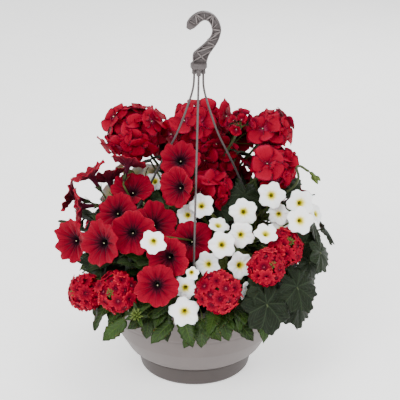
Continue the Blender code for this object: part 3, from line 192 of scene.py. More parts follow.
# Large round leaves: middle of the blade, width across, heading and pitch of its upper face,
# and the roll of its tip from straight down.
GERANIUM_LEAVES = (
    ((96, -146, 164), 74, -62, 30, 0),
    ((138, -112, 172), 70, -48, 34, 12),
    ((142, -96, 140), 66, -44, 14, -10),
    ((174, -52, 196), 58, -24, 20, 10),
    ((166, -14, 222), 56, -8, 30, -14),
    ((158, -62, 162), 54, -30, 10, 20),
    ((124, 10, 278), 58, -60, 62, 30),
    ((70, -4, 262), 56, -72, 52, -20),
    ((36, -22, 246), 46, -90, 40, 10),
    ((166, 30, 196), 58, 12, 26, 0),
    ((-2, 40, 262), 60, -96, 66, 40),
    # Behind the flowers, guessed.
    ((62, 72, 300), 50, 60, 60, 0),
    ((-36, 84, 268), 60, 110, 58, 10),
    ((-64, 62, 292), 52, 140, 62, -30),
    ((-150, 70, 196), 56, 160, 22, 0),
    ((-120, 60, 236), 54, 150, 50, 16),
    ((0, 96, 272), 58, 88, 56, -16),
    ((84, 92, 230), 50, 50, 50, 20),
    ((-170, 34, 190), 56, 172, 14, 8),
    # At the right again: three as in the photo, then two that are guessed.
    ((152, -46, 208), 52, -52, 22, 0),
    ((158, -58, 184), 50, -46, 16, 24),
    ((112, -118, 152), 56, -58, 22, -26),
    ((188, 46, 192), 58, 16, 30, 0),
    ((182, 8, 176), 54, 4, 26, 14),
)
# More of them, set by a seeded draw: how many, between which bearings, how far out and how high.
RIGHT_LEAVES = (16, (-62, 10), (122, 164), (132, 226))

# Leaves that hang in plain sight over the bowl: base and tip, width, heading and pitch of the face.
HANGING_LEAVES = (
    ((10, -146, 141), (10, -139, 96), 26, -90, 10),
    ((-92, -132, 132), (-128, -138, 104), 26, -100, 30),
    ((-60, -140, 140), (-66, -152, 112), 22, -95, 24),
    ((36, -140, 138), (48, -150, 108), 24, -82, 26),
)
# Verbena head that is still all green buds, over the rim at the lower left.
GREEN_TUFT = (-76, -152, 150)
TUFT_FACING = (-112, 40)
# Small leaves of each plant: how many grow round its heart and stems, their length and width,
# and how many more hang over the rim between which bearings.
SMALL_LEAVES = {
    "petunia_foliage_front": (130, 40, 22, 30, (-215, -146)),
    "petunia_foliage_back": (90, 42, 24, 24, (16, 70)),
    "calibrachoa_foliage_front": (130, 30, 12, 26, (-50, 16)),
    "calibrachoa_foliage_back": (90, 30, 12, 22, (104, 145)),
    "verbena_foliage_front": (70, 42, 26, 54, (-154, -36)),
    "verbena_foliage_back": (60, 42, 26, 26, (60, 112)),
}
# Stem of the geranium's drooping buds, and how each bud stands from its end.
BUD_STEM = ((132, -9, 271), (142, -9, 306), (158, -13, 301))
DROOPING_BUDS = (
    (4, -1, -2), (9, -4, -6), (10, 2, -9), (13, -3, -14), (15, 1, -19), (8, 1, -12), (17, -5, -10),
)
# Radii of stems and stalks, at the start and at the end of their routes.
STEMS = {
    "plant": (4.6, 4.0),
    "flower": (1.5, 1.3),
    "geranium_flower": (2.2, 1.9),
    "geranium_buds": (2.0, 1.7),
    "green_tuft": (1.5, 1.6),
    "bloom": (1.35, 1.3),
    "verbena_floret": (0.9, 0.8),
    "geranium_floret": (0.8, 0.9),
    "round_leaf": (1.7, 1.3),
    "hanging_leaf": (1.1, 0.9),
    "small_leaf": (0.9, 0.7),
    "bud": (0.8, 0.7),
}
# Florets of a verbena head, and the share of a ball round its middle that they cover.
VERBENA_FLORETS = 25
VERBENA_DOME = 0.68
# Square millimetres that each geranium floret has in the square round its head, the fewest
# florets of an open head, those of the half-open one, and the share of a ball that they cover.
GERANIUM_SPACE = 400
GERANIUM_FEWEST = 9
GERANIUM_YOUNG = 8
GERANIUM_DOME = 0.66
# How far the soil's top rises and falls, and its waves in a millimetre.
SOIL_SWELL = 2.4
SOIL_WAVES = 0.06

# The stage, in metres: lamps as name, place, width and share of the key light's power.
LAMPS = (
    ("key", (-0.9, -1.6, 1.1), 1.1, 1.0),
    ("fill", (1.5, -1.3, 0.5), 1.2, 0.4),
    ("top", (0.1, 0.3, 1.7), 1.4, 0.5),
    ("rim", (0.6, 1.8, 0.8), 1.2, 0.4),
)
LAMP_AIM = (-0.006, 0.0, -0.26)
CAMERA_PLACE = (-0.0063, -1.5762, 0.3790)
CAMERA_AIM = (-0.0063, 0.0, -0.2578)
SENSOR_WIDTH = 36.0
FLOOR_REACH = 6.0
FLOOR_DROP = 0.2


# Frames and routes


def world(spot):
    """Place in the scene, in metres, of a point in millimetres from the bowl's foot."""
    return (Vector(spot) - HOOK_SEAT) * MM


def facing(heading, pitch):
    """Unit vector along a heading and a pitch in degrees."""
    turn = math.radians(heading)
    lift = math.radians(pitch)
    return Vector((math.cos(turn) * math.cos(lift), math.sin(turn) * math.cos(lift), math.sin(lift)))


def placed(centre, normal, tip=Vector((0.0, 0.0, -1.0))):
    """Frame with +Z along a normal and +X as near as it can be to a tip's way."""
    upward = Vector(normal).normalized()
    along = Vector(tip) - upward * upward.dot(Vector(tip))
    if along.length < 1e-4:
        along = upward.orthogonal()
    along.normalize()
    turn = Matrix((along, upward.cross(along), upward)).transposed()
    return Matrix.Translation(Vector(centre)) @ turn.to_4x4()


def smooth_route(points, count):
    """Evenly numbered points on a smooth curve through the given ones."""
    knots = [Vector(point) for point in points]
    knots = [knots[0] * 2 - knots[1], *knots, knots[-1] * 2 - knots[-2]]
    spans = len(knots) - 3
    route = []
    for step in range(count):
        along = spans * step / (count - 1)
        index = min(int(along), spans - 1)
        t = along - index
        a, b, c, d = knots[index:index + 4]
        square = (2 * a - 5 * b + 4 * c - d) * t * t
        cube = (3 * b - a - 3 * c + d) * t ** 3
        route.append((2 * b + (c - a) * t + square + cube) * 0.5)
    return route


def circle(radius, height, steps, x=0.0, y=0.0):
    """Level ring of points round an upright axis."""
    angles = [step * math.tau / steps for step in range(steps)]
    return [Vector((x + radius * math.cos(angle), y + radius * math.sin(angle), height))
            for angle in angles]


def rise(low, high, value):
    """Smooth step from 0 at low to 1 at high."""
    t = min(1.0, max(0.0, (value - low) / (high - low)))
    return t * t * (3.0 - 2.0 * t)


# Flowers' places, read from the frame

# How far a crowded bloom may have been moved in the CAD, and the share of a bloom's width at
# which its CAD edge has points.
MOVES = range(0, 42, 2)
EDGE_SHARE = 0.47


def node_points(name):
    """Points of a CAD node, in millimetres from the middle of the bowl's foot."""
    node = frame["nodes"][name]
    return [node.matrix_world @ vert.co / MM + HOOK_SEAT for vert in node.data.vertices]


def ring(centre, way, radius, count, start):
    """Points round a centre, square to a way, the first one towards start."""
    way = Vector(way).normalized()
    first = Vector(start) - way * way.dot(Vector(start))
    if first.length < 1e-5:
        first = way.orthogonal()
    first = first.normalized() * radius
    turns = [Matrix.Rotation(step * math.tau / count, 3, way) for step in range(count)]
    return [Vector(centre) + turn @ first for turn in turns]


def settled(tree, centre, width, normal):
    """Middle of a CAD bloom's mouth: its place in the table, or where it was moved to be clear."""
    ways = (BACK, -BACK, normal, normal.cross(BACK), BACK.cross(normal))
    spots = [Vector(centre) + way * shift for way in ways for shift in MOVES]

    def misfit(spot):
        """How far a mouth set there is from the CAD's own points, summed round its edge."""
        edges = ring(spot, normal, width * EDGE_SHARE, 20, normal.orthogonal())
        return sum(tree.find(edge)[2] for edge in edges)

    return min(spots, key=misfit)


def nearest_plant(kind, place):
    """The plant of a kind whose heart is nearest to a place."""
    plants = [name for name in HEARTS if name.startswith(kind)]
    return min(plants, key=lambda name: (Vector(HEARTS[name][0]) - Vector(place)).length)


def set_spray(name, blooms):
    """Blooms of a spray at their settled places, its plant, and the foot where its stem ends."""
    points = node_points(name)
    tree = KDTree(len(points))
    for index, point in enumerate(points):
        tree.insert(point, index)
    tree.balance()
    plant = nearest_plant(name.split("_")[0], blooms[0][0])
    heart = Vector(HEARTS[plant][0])
    foot = min(points, key=lambda point: (point - heart).length)
    moved = [(settled(tree, centre, width, facing(heading, pitch)), width, heading, pitch)
             for centre, width, heading, pitch in blooms]
    return moved, plant, foot


def set_head(name, heading, pitch):
    """Middle, width, height and facing of a CAD flower head."""
    normal = facing(heading, pitch)
    at = placed((0, 0, 0), normal)
    back = at.inverted()
    points = [back @ point for point in node_points(name)]
    low = Vector(min(point[axis] for point in points) for axis in range(3))
    high = Vector(max(point[axis] for point in points) for axis in range(3))
    height = (high.z - low.z) / HEAD_RISE
    width = (high.x - low.x + high.y - low.y) / 2 / HEAD_SPAN
    middle = (low + high) / 2
    middle.z = low.z + HEAD_FOOT * height
    return at @ middle, width, height, heading, pitch


SPRAYS = {}
for kind, table in (("petunia", PETUNIA_SPRAYS), ("calibrachoa", CALIBRACHOA_SPRAYS)):
    for number, blooms in enumerate(table, 1):
        title = f"{kind}_spray_{number:02d}"
        SPRAYS[title] = set_spray(title, blooms)
HEADS = {}
for kind, table in HEAD_FACINGS.items():
    for number, way in enumerate(table, 1):
        title = f"{kind}_head_{number:02d}"
        HEADS[title] = set_head(title, *way)


def head_foot(name):
    """Where a flower head stands on its stem, and the way that it faces."""
    centre, _, height, heading, pitch = HEADS[name]
    normal = facing(heading, pitch)
    return centre - normal * (0.25 * height), normal


def stem_routes(plant):
    """Routes of a plant's stems, from its heart to the foot of each flower, bowed inwards."""
    feet = [foot for _, owner, foot in SPRAYS.values() if owner == plant]
    for name in HEADS:
        foot, normal = head_foot(name)
        if nearest_plant(name.split("_")[0], foot) == plant:
            feet.append(foot - normal * 2.0)
    heart = Vector(HEARTS[plant][0])
    routes = []
    for foot in feet:
        span = foot - heart
        inward = Vector((-foot.x, -foot.y, 0.0)).normalized() * 0.4
        inward += BACK * (1.5 if plant == "geranium_foliage" else 0.8)
        bend = heart.lerp(foot, 0.55) + inward * span.length * 0.2
        routes.append(smooth_route((heart, bend, foot), 12))
    return routes


# Meshes


class Shape:
    """Mesh of one piece as it grows: points, faces, the finish of each face and its map."""

    def __init__(self):
        self.points = []
        self.faces = []
        self.finishes = []
        self.maps = []

    def point(self, spot):
        """Number of a new point."""
        self.points.append(Vector(spot))
        return len(self.points) - 1

    def face(self, corners, places, finish):
        """New face of numbered points, with their places on the map."""
        self.faces.append(corners)
        self.maps.extend(places)
        self.finishes.append(finish)

    def skin(self, rows, ups, finishes, around=1.0):
        """Closed skin over rings of points, each ring turning left about the way back.

        A ring's points lie at ups[ring] on the map, and around is the map's width.
        """
        rings = [[self.point(spot) for spot in row] for row in rows]
        count = len(rings[0])
        for level in range(len(rings) - 1):
            for step in range(count):
                ahead = (step + 1) % count
                here, there = around * step / count, around * (step + 1) / count
                corners = (rings[level][step], rings[level + 1][step],
                           rings[level + 1][ahead], rings[level][ahead])
                places = ((here, ups[level]), (here, ups[level + 1]),
                          (there, ups[level + 1]), (there, ups[level]))
                self.face(corners, places, finishes[level])
        for end, order in ((0, 1), (-1, -1)):
            middle = self.point(sum((Vector(spot) for spot in rows[end]), Vector()) / count)
            up = ups[end]
            for step in range(count):
                pair = (rings[end][step], rings[end][(step + 1) % count])[::order]
                spots = ((around * step / count, up), (around * (step + 1) / count, up))[::order]
                self.face((middle, *pair), ((around * (step + 0.5) / count, up), *spots), finishes[end])

    def coat(self, rows, finish, up=0.0):
        """Closed skin of one finish, all at one place up the map."""
        self.skin(rows, [up] * len(rows), [finish] * (len(rows) - 1))

    def made(self, name, node_slot, *nodes):
        """Object of the shape, which rides on the frame and stands for CAD nodes."""
        mesh = bpy.data.meshes.new(name)
        mesh.from_pydata([world(spot) for spot in self.points], [], self.faces)
        names = list(dict.fromkeys(self.finishes))
        for finish in names:
            mesh.materials.append(finish_named(finish))
        mesh.polygons.foreach_set("material_index", [names.index(finish) for finish in self.finishes])
        mesh.polygons.foreach_set("use_smooth", [True] * len(self.faces))
        layer = mesh.uv_layers.new(name="growth")
        layer.data.foreach_set("uv", [part for place in self.maps for part in place])
        mesh.update()
        piece = bpy.data.objects.new(name, mesh)
        bpy.context.scene.collection.objects.link(piece)
        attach(piece, "root")
        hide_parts(*nodes)
        return piece


def tube(shape, route, thick, thin, finish, sides=8):
    """Round stem along a route, from thick at its start to thin at its end."""
    side = (route[1] - route[0]).orthogonal()
    rows = []
    ups = []
    for step, spot in enumerate(route):
        before = route[max(step - 1, 0)]
        after = route[min(step + 1, len(route) - 1)]
        way = after - before
        share = step / (len(route) - 1)
        row = ring(spot, way, thick + (thin - thick) * share, sides, side)
        side = row[0] - spot
        rows.append(row)
        ups.append(share)
    rows.reverse()
    ups.reverse()
    shape.skin(rows, ups, [finish] * (len(rows) - 1))


def bud(shape, base, way, length, radius, finish, sides=8):
    """Closed drop from a base along a way, widest below its middle."""
    way = Vector(way).normalized()
    side = way.orthogonal()
    rows = []
    # Share of its length, and share of its radius there.
    levels = ((0.0, 0.3), (0.12, 0.75), (0.32, 1.0), (0.58, 0.86), (0.8, 0.5), (0.95, 0.16))
    for share, out in reversed(levels):
        rows.append(ring(Vector(base) + way * length * share, way, radius * out, sides, side))
    shape.skin(rows, [share for share, _ in reversed(levels)], [finish] * (len(levels) - 1))


# How a blade or petal is cut and curved. Belly moves its widest place along it, blunt rounds
# its ends, fold lifts its sides, droop bends its tip down, ripple waves its edges.
Blade = namedtuple("Blade", "rows columns belly blunt teeth bite fold droop ripple thick")
BLADES = {
    "petunia": Blade(11, 6, 0.86, 0.85, 0, 0.0, 0.16, 0.16, 0.03, 0.5),
    "calibrachoa": Blade(9, 4, 0.95, 0.7, 0, 0.0, 0.22, 0.22, 0.02, 0.5),
    "verbena": Blade(16, 4, 0.74, 0.8, 5, 0.26, 0.2, 0.2, 0.035, 0.5),
    "geranium_petal": Blade(8, 7, 1.6, 0.42, 0, 0.0, 0.04, 0.1, 0.07, 0.35),
    "sepal": Blade(4, 2, 0.8, 0.7, 0, 0.0, 0.2, 0.1, 0.0, 0.4),
}


def blade(shape, at, length, width, cut, draw, front, back):
    """Closed thin blade along a frame's +X, its upper face along +Z."""
    shift = draw.uniform(0.0, math.tau)
    lean = draw.uniform(-0.06, 0.06)
    spots = {}
    ids = {}
    for row in range(cut.rows + 1):
        t = 0.012 + 0.976 * row / cut.rows
        half = max(0.02, math.sin(math.pi * t ** cut.belly)) ** cut.blunt
        if cut.teeth:
            bite = (t * cut.teeth) % 1.0
            half *= 1.0 - cut.bite * bite * rise(0.04, 0.25, t)
        for column in range(cut.columns + 1):
            s = 2.0 * column / cut.columns - 1.0
            out = s * half * width / 2
            wave = cut.ripple * length * s * s * math.sin(shift + t * 9.0 + s * 1.6)
            z = cut.fold * abs(out) - cut.droop * length * t * t + wave
            x = length * (t - 0.18 * cut.droop * t * t * t) - 0.06 * abs(out) * (cut.teeth > 0)
            spots[row, column] = Vector((x, out + lean * length * t * t, z))
            rim = row in (0, cut.rows) or column in (0, cut.columns)
            ids[row, column, 0] = shape.point(at @ spots[row, column])
            ids[row, column, 1] = ids[row, column, 0] if rim else shape.point(
                at @ (spots[row, column] - Vector((0, 0, cut.thick))))
    for row in range(cut.rows):
        for column in range(cut.columns):
            corners = ((row, column), (row + 1, column), (row + 1, column + 1), (row, column + 1))
            places = tuple((one / cut.columns, level / cut.rows) for level, one in corners)
            shape.face(tuple(ids[corner + (0,)] for corner in corners), places, front)
            shape.face(tuple(ids[corner + (1,)] for corner in reversed(corners)), places[::-1], back)


# Every trumpet has five lobes.
LOBES = 5
# How a trumpet is drawn: columns round it, its outline as (radius, depth) for the upper and
# the under side in shares of its reach, the notch between lobes, the dimple in each, the
# grooves along them and the waves of the edge.
Trumpet = namedtuple("Trumpet", "columns front back notch sharp dimple groove ruffle waves")
TRUMPETS = {
    "petunia": Trumpet(
        80,
        ((0.05, -0.68), (0.08, -0.57), (0.11, -0.46), (0.15, -0.36), (0.21, -0.27), (0.29, -0.2),
         (0.38, -0.15), (0.49, -0.105), (0.6, -0.066), (0.72, -0.03), (0.83, -0.005), (0.92, 0.0),
         (0.97, -0.014), (1.0, -0.04)),
        ((0.97, -0.05), (0.86, -0.035), (0.7, -0.07), (0.54, -0.12), (0.4, -0.18), (0.29, -0.24),
         (0.21, -0.32), (0.165, -0.42), (0.13, -0.57), (0.11, -0.75)),
        0.16, 6.0, 0.07, 0.08, 0.07, (9, 16)),
    "calibrachoa": Trumpet(
        60,
        ((0.05, -0.55), (0.09, -0.4), (0.13, -0.27), (0.19, -0.16), (0.28, -0.09), (0.4, -0.05),
         (0.54, -0.02), (0.7, 0.0), (0.84, 0.006), (0.94, -0.01), (1.0, -0.045)),
        ((0.95, -0.055), (0.8, -0.035), (0.6, -0.05), (0.42, -0.09), (0.28, -0.16), (0.19, -0.27),
         (0.15, -0.42), (0.13, -0.6)),
        0.22, 4.0, 0.05, 0.03, 0.03, (7, 12)),
    "verbena": Trumpet(
        40,
        ((0.03, -0.3), (0.06, -0.14), (0.1, -0.06), (0.26, 0.0), (0.48, 0.03), (0.7, 0.04),
         (0.88, 0.01), (1.0, -0.07)),
        ((0.9, -0.06), (0.5, -0.05), (0.16, -0.18)),
        0.32, 7.0, 0.24, 0.05, 0.04, (5, 10)),
}


def trumpet(shape, at, width, length, form, draw, finishes, tail=1.5, cup=0.0):
    """Five-lobed trumpet facing +Z, one closed skin from the throat over the edge to the tail."""
    reach = width / 2
    front, back, neck = finishes
    grow = [draw.uniform(0.94, 1.05) for _ in range(LOBES)]
    tilt = [draw.uniform(-0.11, 0.08) for _ in range(LOBES)]
    phases = [draw.uniform(0.0, math.tau) for _ in form.waves]
    spin = draw.uniform(0.0, math.tau)

    def lobed(share, deep, angle):
        """Point of the lip at a share of its reach, at a depth and in a direction."""
        place = (angle * LOBES / math.tau) % LOBES
        lobe = int(place)
        p = place - lobe
        seam = abs(math.cos(math.pi * p))
        middle = max(0.0, 1.0 - abs(p - 0.5) / 0.16)
        body = math.sin(math.pi * p)
        edge = 1.0 - form.notch * seam ** form.sharp * (2.0 - seam) - form.dimple * middle * middle
        edge *= 1.0 + (grow[lobe] - 1.0) * body
        far = share ** 1.6
        out = reach * share * (1.0 - (1.0 - edge) * far)
        fold = (0.5 + 0.5 * math.cos(4 * math.pi * p)) ** 3
        z = deep - form.groove * fold * rise(0.12, 0.5, share) * (1.25 - share) * 2.0
        z += tilt[lobe] * body * share * share + cup * share * share
        for wave, phase, strength in zip(form.waves, phases, (1.0, 0.55)):
            z += form.ruffle * strength * share ** 3 * math.sin(wave * angle + phase)
        out *= 1.0 - 0.35 * cup * share
        turn = angle + spin
        return at @ Vector((out * math.cos(turn), out * math.sin(turn), z * reach))

    rows = []
    ups = []
    kinds = []
    angles = [math.tau * step / form.columns for step in range(form.columns)]
    for share, deep in form.front:
        rows.append([lobed(share, deep, angle) for angle in angles])
        ups.append(share)
        kinds.append(front)
    kinds[-1] = back
    for share, deep in form.back:
        rows.append([lobed(share, deep, angle) for angle in angles])
        ups.append(share)
        kinds.append(back)
    last = form.back[-1][0] * reach
    start = -form.back[-1][1] * reach
    for step in (0.35, 0.7, 1.0):
        z = start + (length - start) * step
        out = last + (tail - last) * step
        turns = [angle + spin for angle in angles]
        rows.append([at @ Vector((out * math.cos(turn), out * math.sin(turn), -z)) for turn in turns])
        ups.append(-step)
        kinds.append(neck)
    shape.skin(rows, ups, kinds[:-1], around=float(LOBES))


# Room round the flowers

# Radii of the balls along a lip, a tube and a strand, and how near a ball counts for a leaf.
LIP_BALL = 2.6
TUBE_BALL = 3.2
STRAND_BALL = 2.6
NEARBY = 60.0
# Rings of balls that fill a trumpet's lip and a flower head: share of its width, height above
# its middle in shares of its half width or of its height, and how many.
LIP_RINGS = ((0.5, 0.0, 22), (0.375, -0.04, 16), (0.25, -0.1, 12), (0.125, -0.22, 8))
HEAD_RINGS = ((0.36, 0.1, 14), (0.2, 0.3, 6))
# Radius of the ball in a head's middle as a share of its height, and of the balls round it as a
# share of its width.
HEAD_BALLS = (0.45, 0.17)


class Room:
    """Balls that fill the flowers and the hanger, and the light in front of each flower."""

    def __init__(self):
        self.centres = np.empty((0, 3))
        self.radii = np.empty(0)
        self.mouths = np.empty((0, 7))

    def light(self, centre, way, radius):
        """Keep leaves out of the space that a flower faces, as it turns to the light."""
        self.mouths = np.vstack([self.mouths, [*centre, *way, radius]])

    def shaded(self, points):
        """Whether any of the points lies in the space that a flower faces."""
        offsets = points[:, None] - self.mouths[None, :, :3]
        along = (offsets * self.mouths[None, :, 3:6]).sum(axis=2)
        across = np.linalg.norm(offsets - along[:, :, None] * self.mouths[None, :, 3:6], axis=2)
        return ((along > -2.0) & (along < OPEN_AIR) & (across < self.mouths[None, :, 6])).any()

    def take(self, balls):
        """Fill the room with balls of (middle, radius)."""
        self.centres = np.vstack([self.centres, [tuple(spot) for spot, _ in balls]])
        self.radii = np.append(self.radii, [radius for _, radius in balls])

    def clear(self, spots, margin):
        """Whether spots keep a margin to all balls, and keep to the box and off the bowl and soil."""
        points = np.array([tuple(spot) for spot in spots])
        low, high = (np.array(corner) / MM + np.array(HOOK_SEAT) for corner in CAD_BOX)
        if (points < low - BOX_SPARE).any() or (points > high + BOX_SPARE).any():
            return False
        across = np.hypot(points[:, 0], points[:, 1])
        inner, outer = RIM_CLEAR
        if ((across < outer) & (points[:, 2] < SOIL_TOP + 4.0)).any():
            return False
        if ((across > inner) & (across < outer) & (points[:, 2] < RIM_HEIGHT + 5.0)).any():
            return False
        if self.shaded(points):
            return False
        near = (np.abs(self.centres - points.mean(axis=0)) < NEARBY).all(axis=1)
        if not near.any():
            return True
        gaps = np.linalg.norm(points[:, None] - self.centres[near][None], axis=2)
        return (gaps - self.radii[near][None]).min() > margin


def flower_room():
    """Room with the flowers, the heads and the strands in it."""
    room = Room()
    for blooms, _, _ in SPRAYS.values():
        for centre, width, heading, pitch in blooms:
            at = placed(centre, facing(heading, pitch))
            balls = []
            for share, level, count in LIP_RINGS:
                lip = circle(share * width, level * width / 2, count)
                balls += [(at @ spot, LIP_BALL) for spot in lip]
            balls += [(at @ Vector((0, 0, -5.0 * step)), TUBE_BALL) for step in range(1, 5)]
            room.take(balls)
            room.light(centre, facing(heading, pitch), width * 0.56)
    for centre, width, height, heading, pitch in HEADS.values():
        at = placed(centre, facing(heading, pitch))
        balls = [(Vector(centre), height * HEAD_BALLS[0])]
        for share, level, count in HEAD_RINGS:
            dome = circle(share * width, level * height, count)
            balls += [(at @ spot, width * HEAD_BALLS[1]) for spot in dome]
        room.take(balls)
        room.light(centre, facing(heading, pitch), width * 0.5)
    for bearing in STRAND_BEARINGS.values():
        room.take([(spot, STRAND_BALL) for spot in strand_route(bearing, 90)])
    return room


# Materials


def paint(code):
    """Linear colour of an sRGB hex value such as 7f7878."""
    linear = []
    for place in (0, 2, 4):
        part = int(code[place:place + 2], 16) / 255
        linear.append(part / 12.92 if part <= 0.04045 else ((part + 0.055) / 1.055) ** 2.4)
    return (*linear, 1.0)


def add(tree, kind, links=(), **settings):
    """New node with its settings, its sockets filled by links of (socket, value or source)."""
    node = tree.nodes.new("ShaderNode" + kind)
    for name, value in settings.items():
        setattr(node, name, value)
    for socket, value in links:
        if isinstance(value, bpy.types.NodeSocket):
            tree.links.new(value, node.inputs[socket])
        else:
            node.inputs[socket].default_value = value
    return node


def ramp(tree, source, stops):
    """Colour ramp with stops of (place, hex or linear colour)."""
    node = add(tree, "ValToRGB", (("Fac", source),))
    bar = node.color_ramp
    while len(bar.elements) < len(stops):
        bar.elements.new(0.5)
    for element, (place, code) in zip(bar.elements, stops):
        element.position = place
        element.color = paint(code) if isinstance(code, str) else code
    return node.outputs["Color"]


def sums(tree, kind, *values):
    """Output of one arithmetic node on sources or numbers."""
    node = add(tree, "Math", tuple(enumerate(values)), operation=kind)
    return node.outputs[0]


def blank(name, **settings):
    """New material, its tree and its shader with constant sockets set."""
    material = bpy.data.materials.new(name)
    material.use_nodes = True
    tree = material.node_tree
    tree.nodes.clear()
    sockets = [(socket.replace("_", " "), value) for socket, value in settings.items()]
    shader = add(tree, "BsdfPrincipled", sockets)
    add(tree, "OutputMaterial", (("Surface", shader.outputs[0]),))
    return material, tree, shader


def mottle(tree, grain_mm, detail=4.0):
    """Noise whose patches are about so many millimetres across."""
    coords = add(tree, "TexCoord").outputs["Object"]
    return add(tree, "TexNoise", (("Vector", coords), ("Scale", 1.0 / (grain_mm * MM)),
                                  ("Detail", detail), ("Roughness", 0.55))).outputs["Fac"]


def bumped(tree, shader, height, depth_mm, strength=1.0):
    """Relief of a surface, so many millimetres deep."""
    bump = add(tree, "Bump", (("Height", height), ("Distance", depth_mm * MM), ("Strength", strength)))
    tree.links.new(bump.outputs[0], shader.inputs["Normal"])


def grown(tree):
    """The map's two ways: round or across a petal, and out along it."""
    both = add(tree, "SeparateXYZ", ((0, add(tree, "UVMap", uv_map="growth").outputs[0]),))
    return both.outputs["X"], both.outputs["Y"]


def lines(tree, place, times, sharp):
    """Thin lines, 1 on the line, that repeat so many times in a unit of the map."""
    wave = sums(tree, "COSINE", sums(tree, "MULTIPLY", place, math.tau * times))
    lifted = sums(tree, "MULTIPLY_ADD", wave, 0.5, 0.5)
    return sums(tree, "POWER", lifted, sharp)


def petal_finish(name, stops, vein_reach, tone, rough=0.5, sheen=0.04, veins=(2, 9), pale="",
                 grain=7.0):
    """Petal: thin wet cells over pigment, so a soft satin with veins and a little light let through.

    The ramp runs from the throat to the edge, and veins carry the throat's colour outwards by
    vein_reach. Tone is how far petals differ, veins how many bold and fine ones a lobe has, pale
    the colour of the fine veins near the edge, and grain the width of the patches.
    """
    material, tree, shader = blank(
        name, Roughness=rough, IOR=1.42, Specular_IOR_Level=0.05, Sheen_Weight=sheen,
        Sheen_Roughness=0.45, Subsurface_Weight=0.16, Subsurface_Scale=0.0015,
        Subsurface_Radius=(1.0, 0.3, 0.25))
    across, out = grown(tree)
    patches = mottle(tree, grain)
    # Cells are 0.05 mm across; these are drawn 1.4 mm wide, the finest that shows.
    fine = mottle(tree, 1.4, 2.0)
    bent = sums(tree, "MULTIPLY_ADD", fine, 0.055, across)
    bold = lines(tree, bent, veins[0], 26.0)
    thin = lines(tree, bent, veins[1], 5.0)
    both = sums(tree, "MAXIMUM", bold, sums(tree, "MULTIPLY", thin, 0.55))
    island = add(tree, "NewGeometry").outputs["Random Per Island"]
    shift = sums(tree, "MULTIPLY_ADD", both, -vein_reach, out)
    shift = sums(tree, "MULTIPLY_ADD", patches, 0.16, shift)
    shift = sums(tree, "ADD", shift, sums(tree, "MULTIPLY_ADD", island, tone, -0.08 - tone / 2))
    colour = ramp(tree, shift, stops)
    if pale:
        light = sums(tree, "MULTIPLY", thin, sums(tree, "MULTIPLY", out, 0.5))
        blend = (("Fac", light), ("Color1", colour), ("Color2", paint(pale)))
        colour = add(tree, "MixRGB", blend).outputs[0]
    tree.links.new(colour, shader.inputs["Base Color"])
    bumped(tree, shader, sums(tree, "MULTIPLY_ADD", both, -1.0, fine), 0.22, 0.7)
    return material


def leaf_finish(name, dark, light, vein, ribs, rough=0.5, palm=False):
    """Leaf: waxy skin over green tissue, with sunk veins and patches of light and dark.

    A palm leaf's veins spread from its middle, and any other leaf's branch from its midrib.
    """
    material, tree, shader = blank(
        name, Roughness=rough, IOR=1.45, Specular_IOR_Level=0.16 if palm else 0.26,
        Subsurface_Weight=0.06, Subsurface_Scale=0.001)
    across, out = grown(tree)
    if palm:
        side = sums(tree, "ABSOLUTE", sums(tree, "SUBTRACT", sums(tree, "FRACT", across), 0.5))
        away = sums(tree, "MULTIPLY", side, sums(tree, "MULTIPLY_ADD", out, 1.0, 0.05))
    else:
        side = sums(tree, "ABSOLUTE", sums(tree, "SUBTRACT", across, 0.5))
        away = side
    rib = sums(tree, "SUBTRACT", 1.0, sums(tree, "MULTIPLY", away, 22.0))
    rib = sums(tree, "MAXIMUM", rib, 0.0)
    slanted = sums(tree, "SUBTRACT", out, sums(tree, "MULTIPLY", side, 0.75 if palm else 0.45))
    branch = sums(tree, "MULTIPLY", lines(tree, slanted, ribs, 14.0), 0.7)
    both = sums(tree, "MAXIMUM", rib, branch)
    patches = mottle(tree, 9.0)
    cells = mottle(tree, 1.1, 3.0)
    island = add(tree, "NewGeometry").outputs["Random Per Island"]
    tone = sums(tree, "MULTIPLY_ADD", island, 0.5, sums(tree, "MULTIPLY", patches, 0.8))
    colour = ramp(tree, sums(tree, "SUBTRACT", tone, 0.15), ((0.15, dark), (0.85, light)))
    share = sums(tree, "MULTIPLY", both, 0.6)
    veined = add(tree, "MixRGB", (("Fac", share), ("Color1", colour), ("Color2", paint(vein))))
    tree.links.new(veined.outputs[0], shader.inputs["Base Color"])
    height = sums(tree, "MULTIPLY_ADD", both, -1.2, sums(tree, "MULTIPLY", cells, 0.6))
    bumped(tree, shader, height, 0.45, 0.9)
    return material


def stem_finish(name, low, high):
    """Young stem: smooth green skin, flushed darker towards its root."""
    material, tree, shader = blank(name, Roughness=0.5, IOR=1.45, Specular_IOR_Level=0.3,
                                   Subsurface_Weight=0.05, Subsurface_Scale=0.001)
    _, out = grown(tree)
    tone = sums(tree, "MULTIPLY_ADD", mottle(tree, 5.0), 0.5, sums(tree, "MULTIPLY", out, 0.5))
    tree.links.new(ramp(tree, tone, ((0.1, low), (0.8, high))), shader.inputs["Base Color"])
    bumped(tree, shader, mottle(tree, 0.8, 2.0), 0.15, 0.5)
    return material


def shade(colour, share):
    """Linear colour made darker or lighter by a share."""
    return (*(min(1.0, part * share) for part in colour[:3]), 1.0)


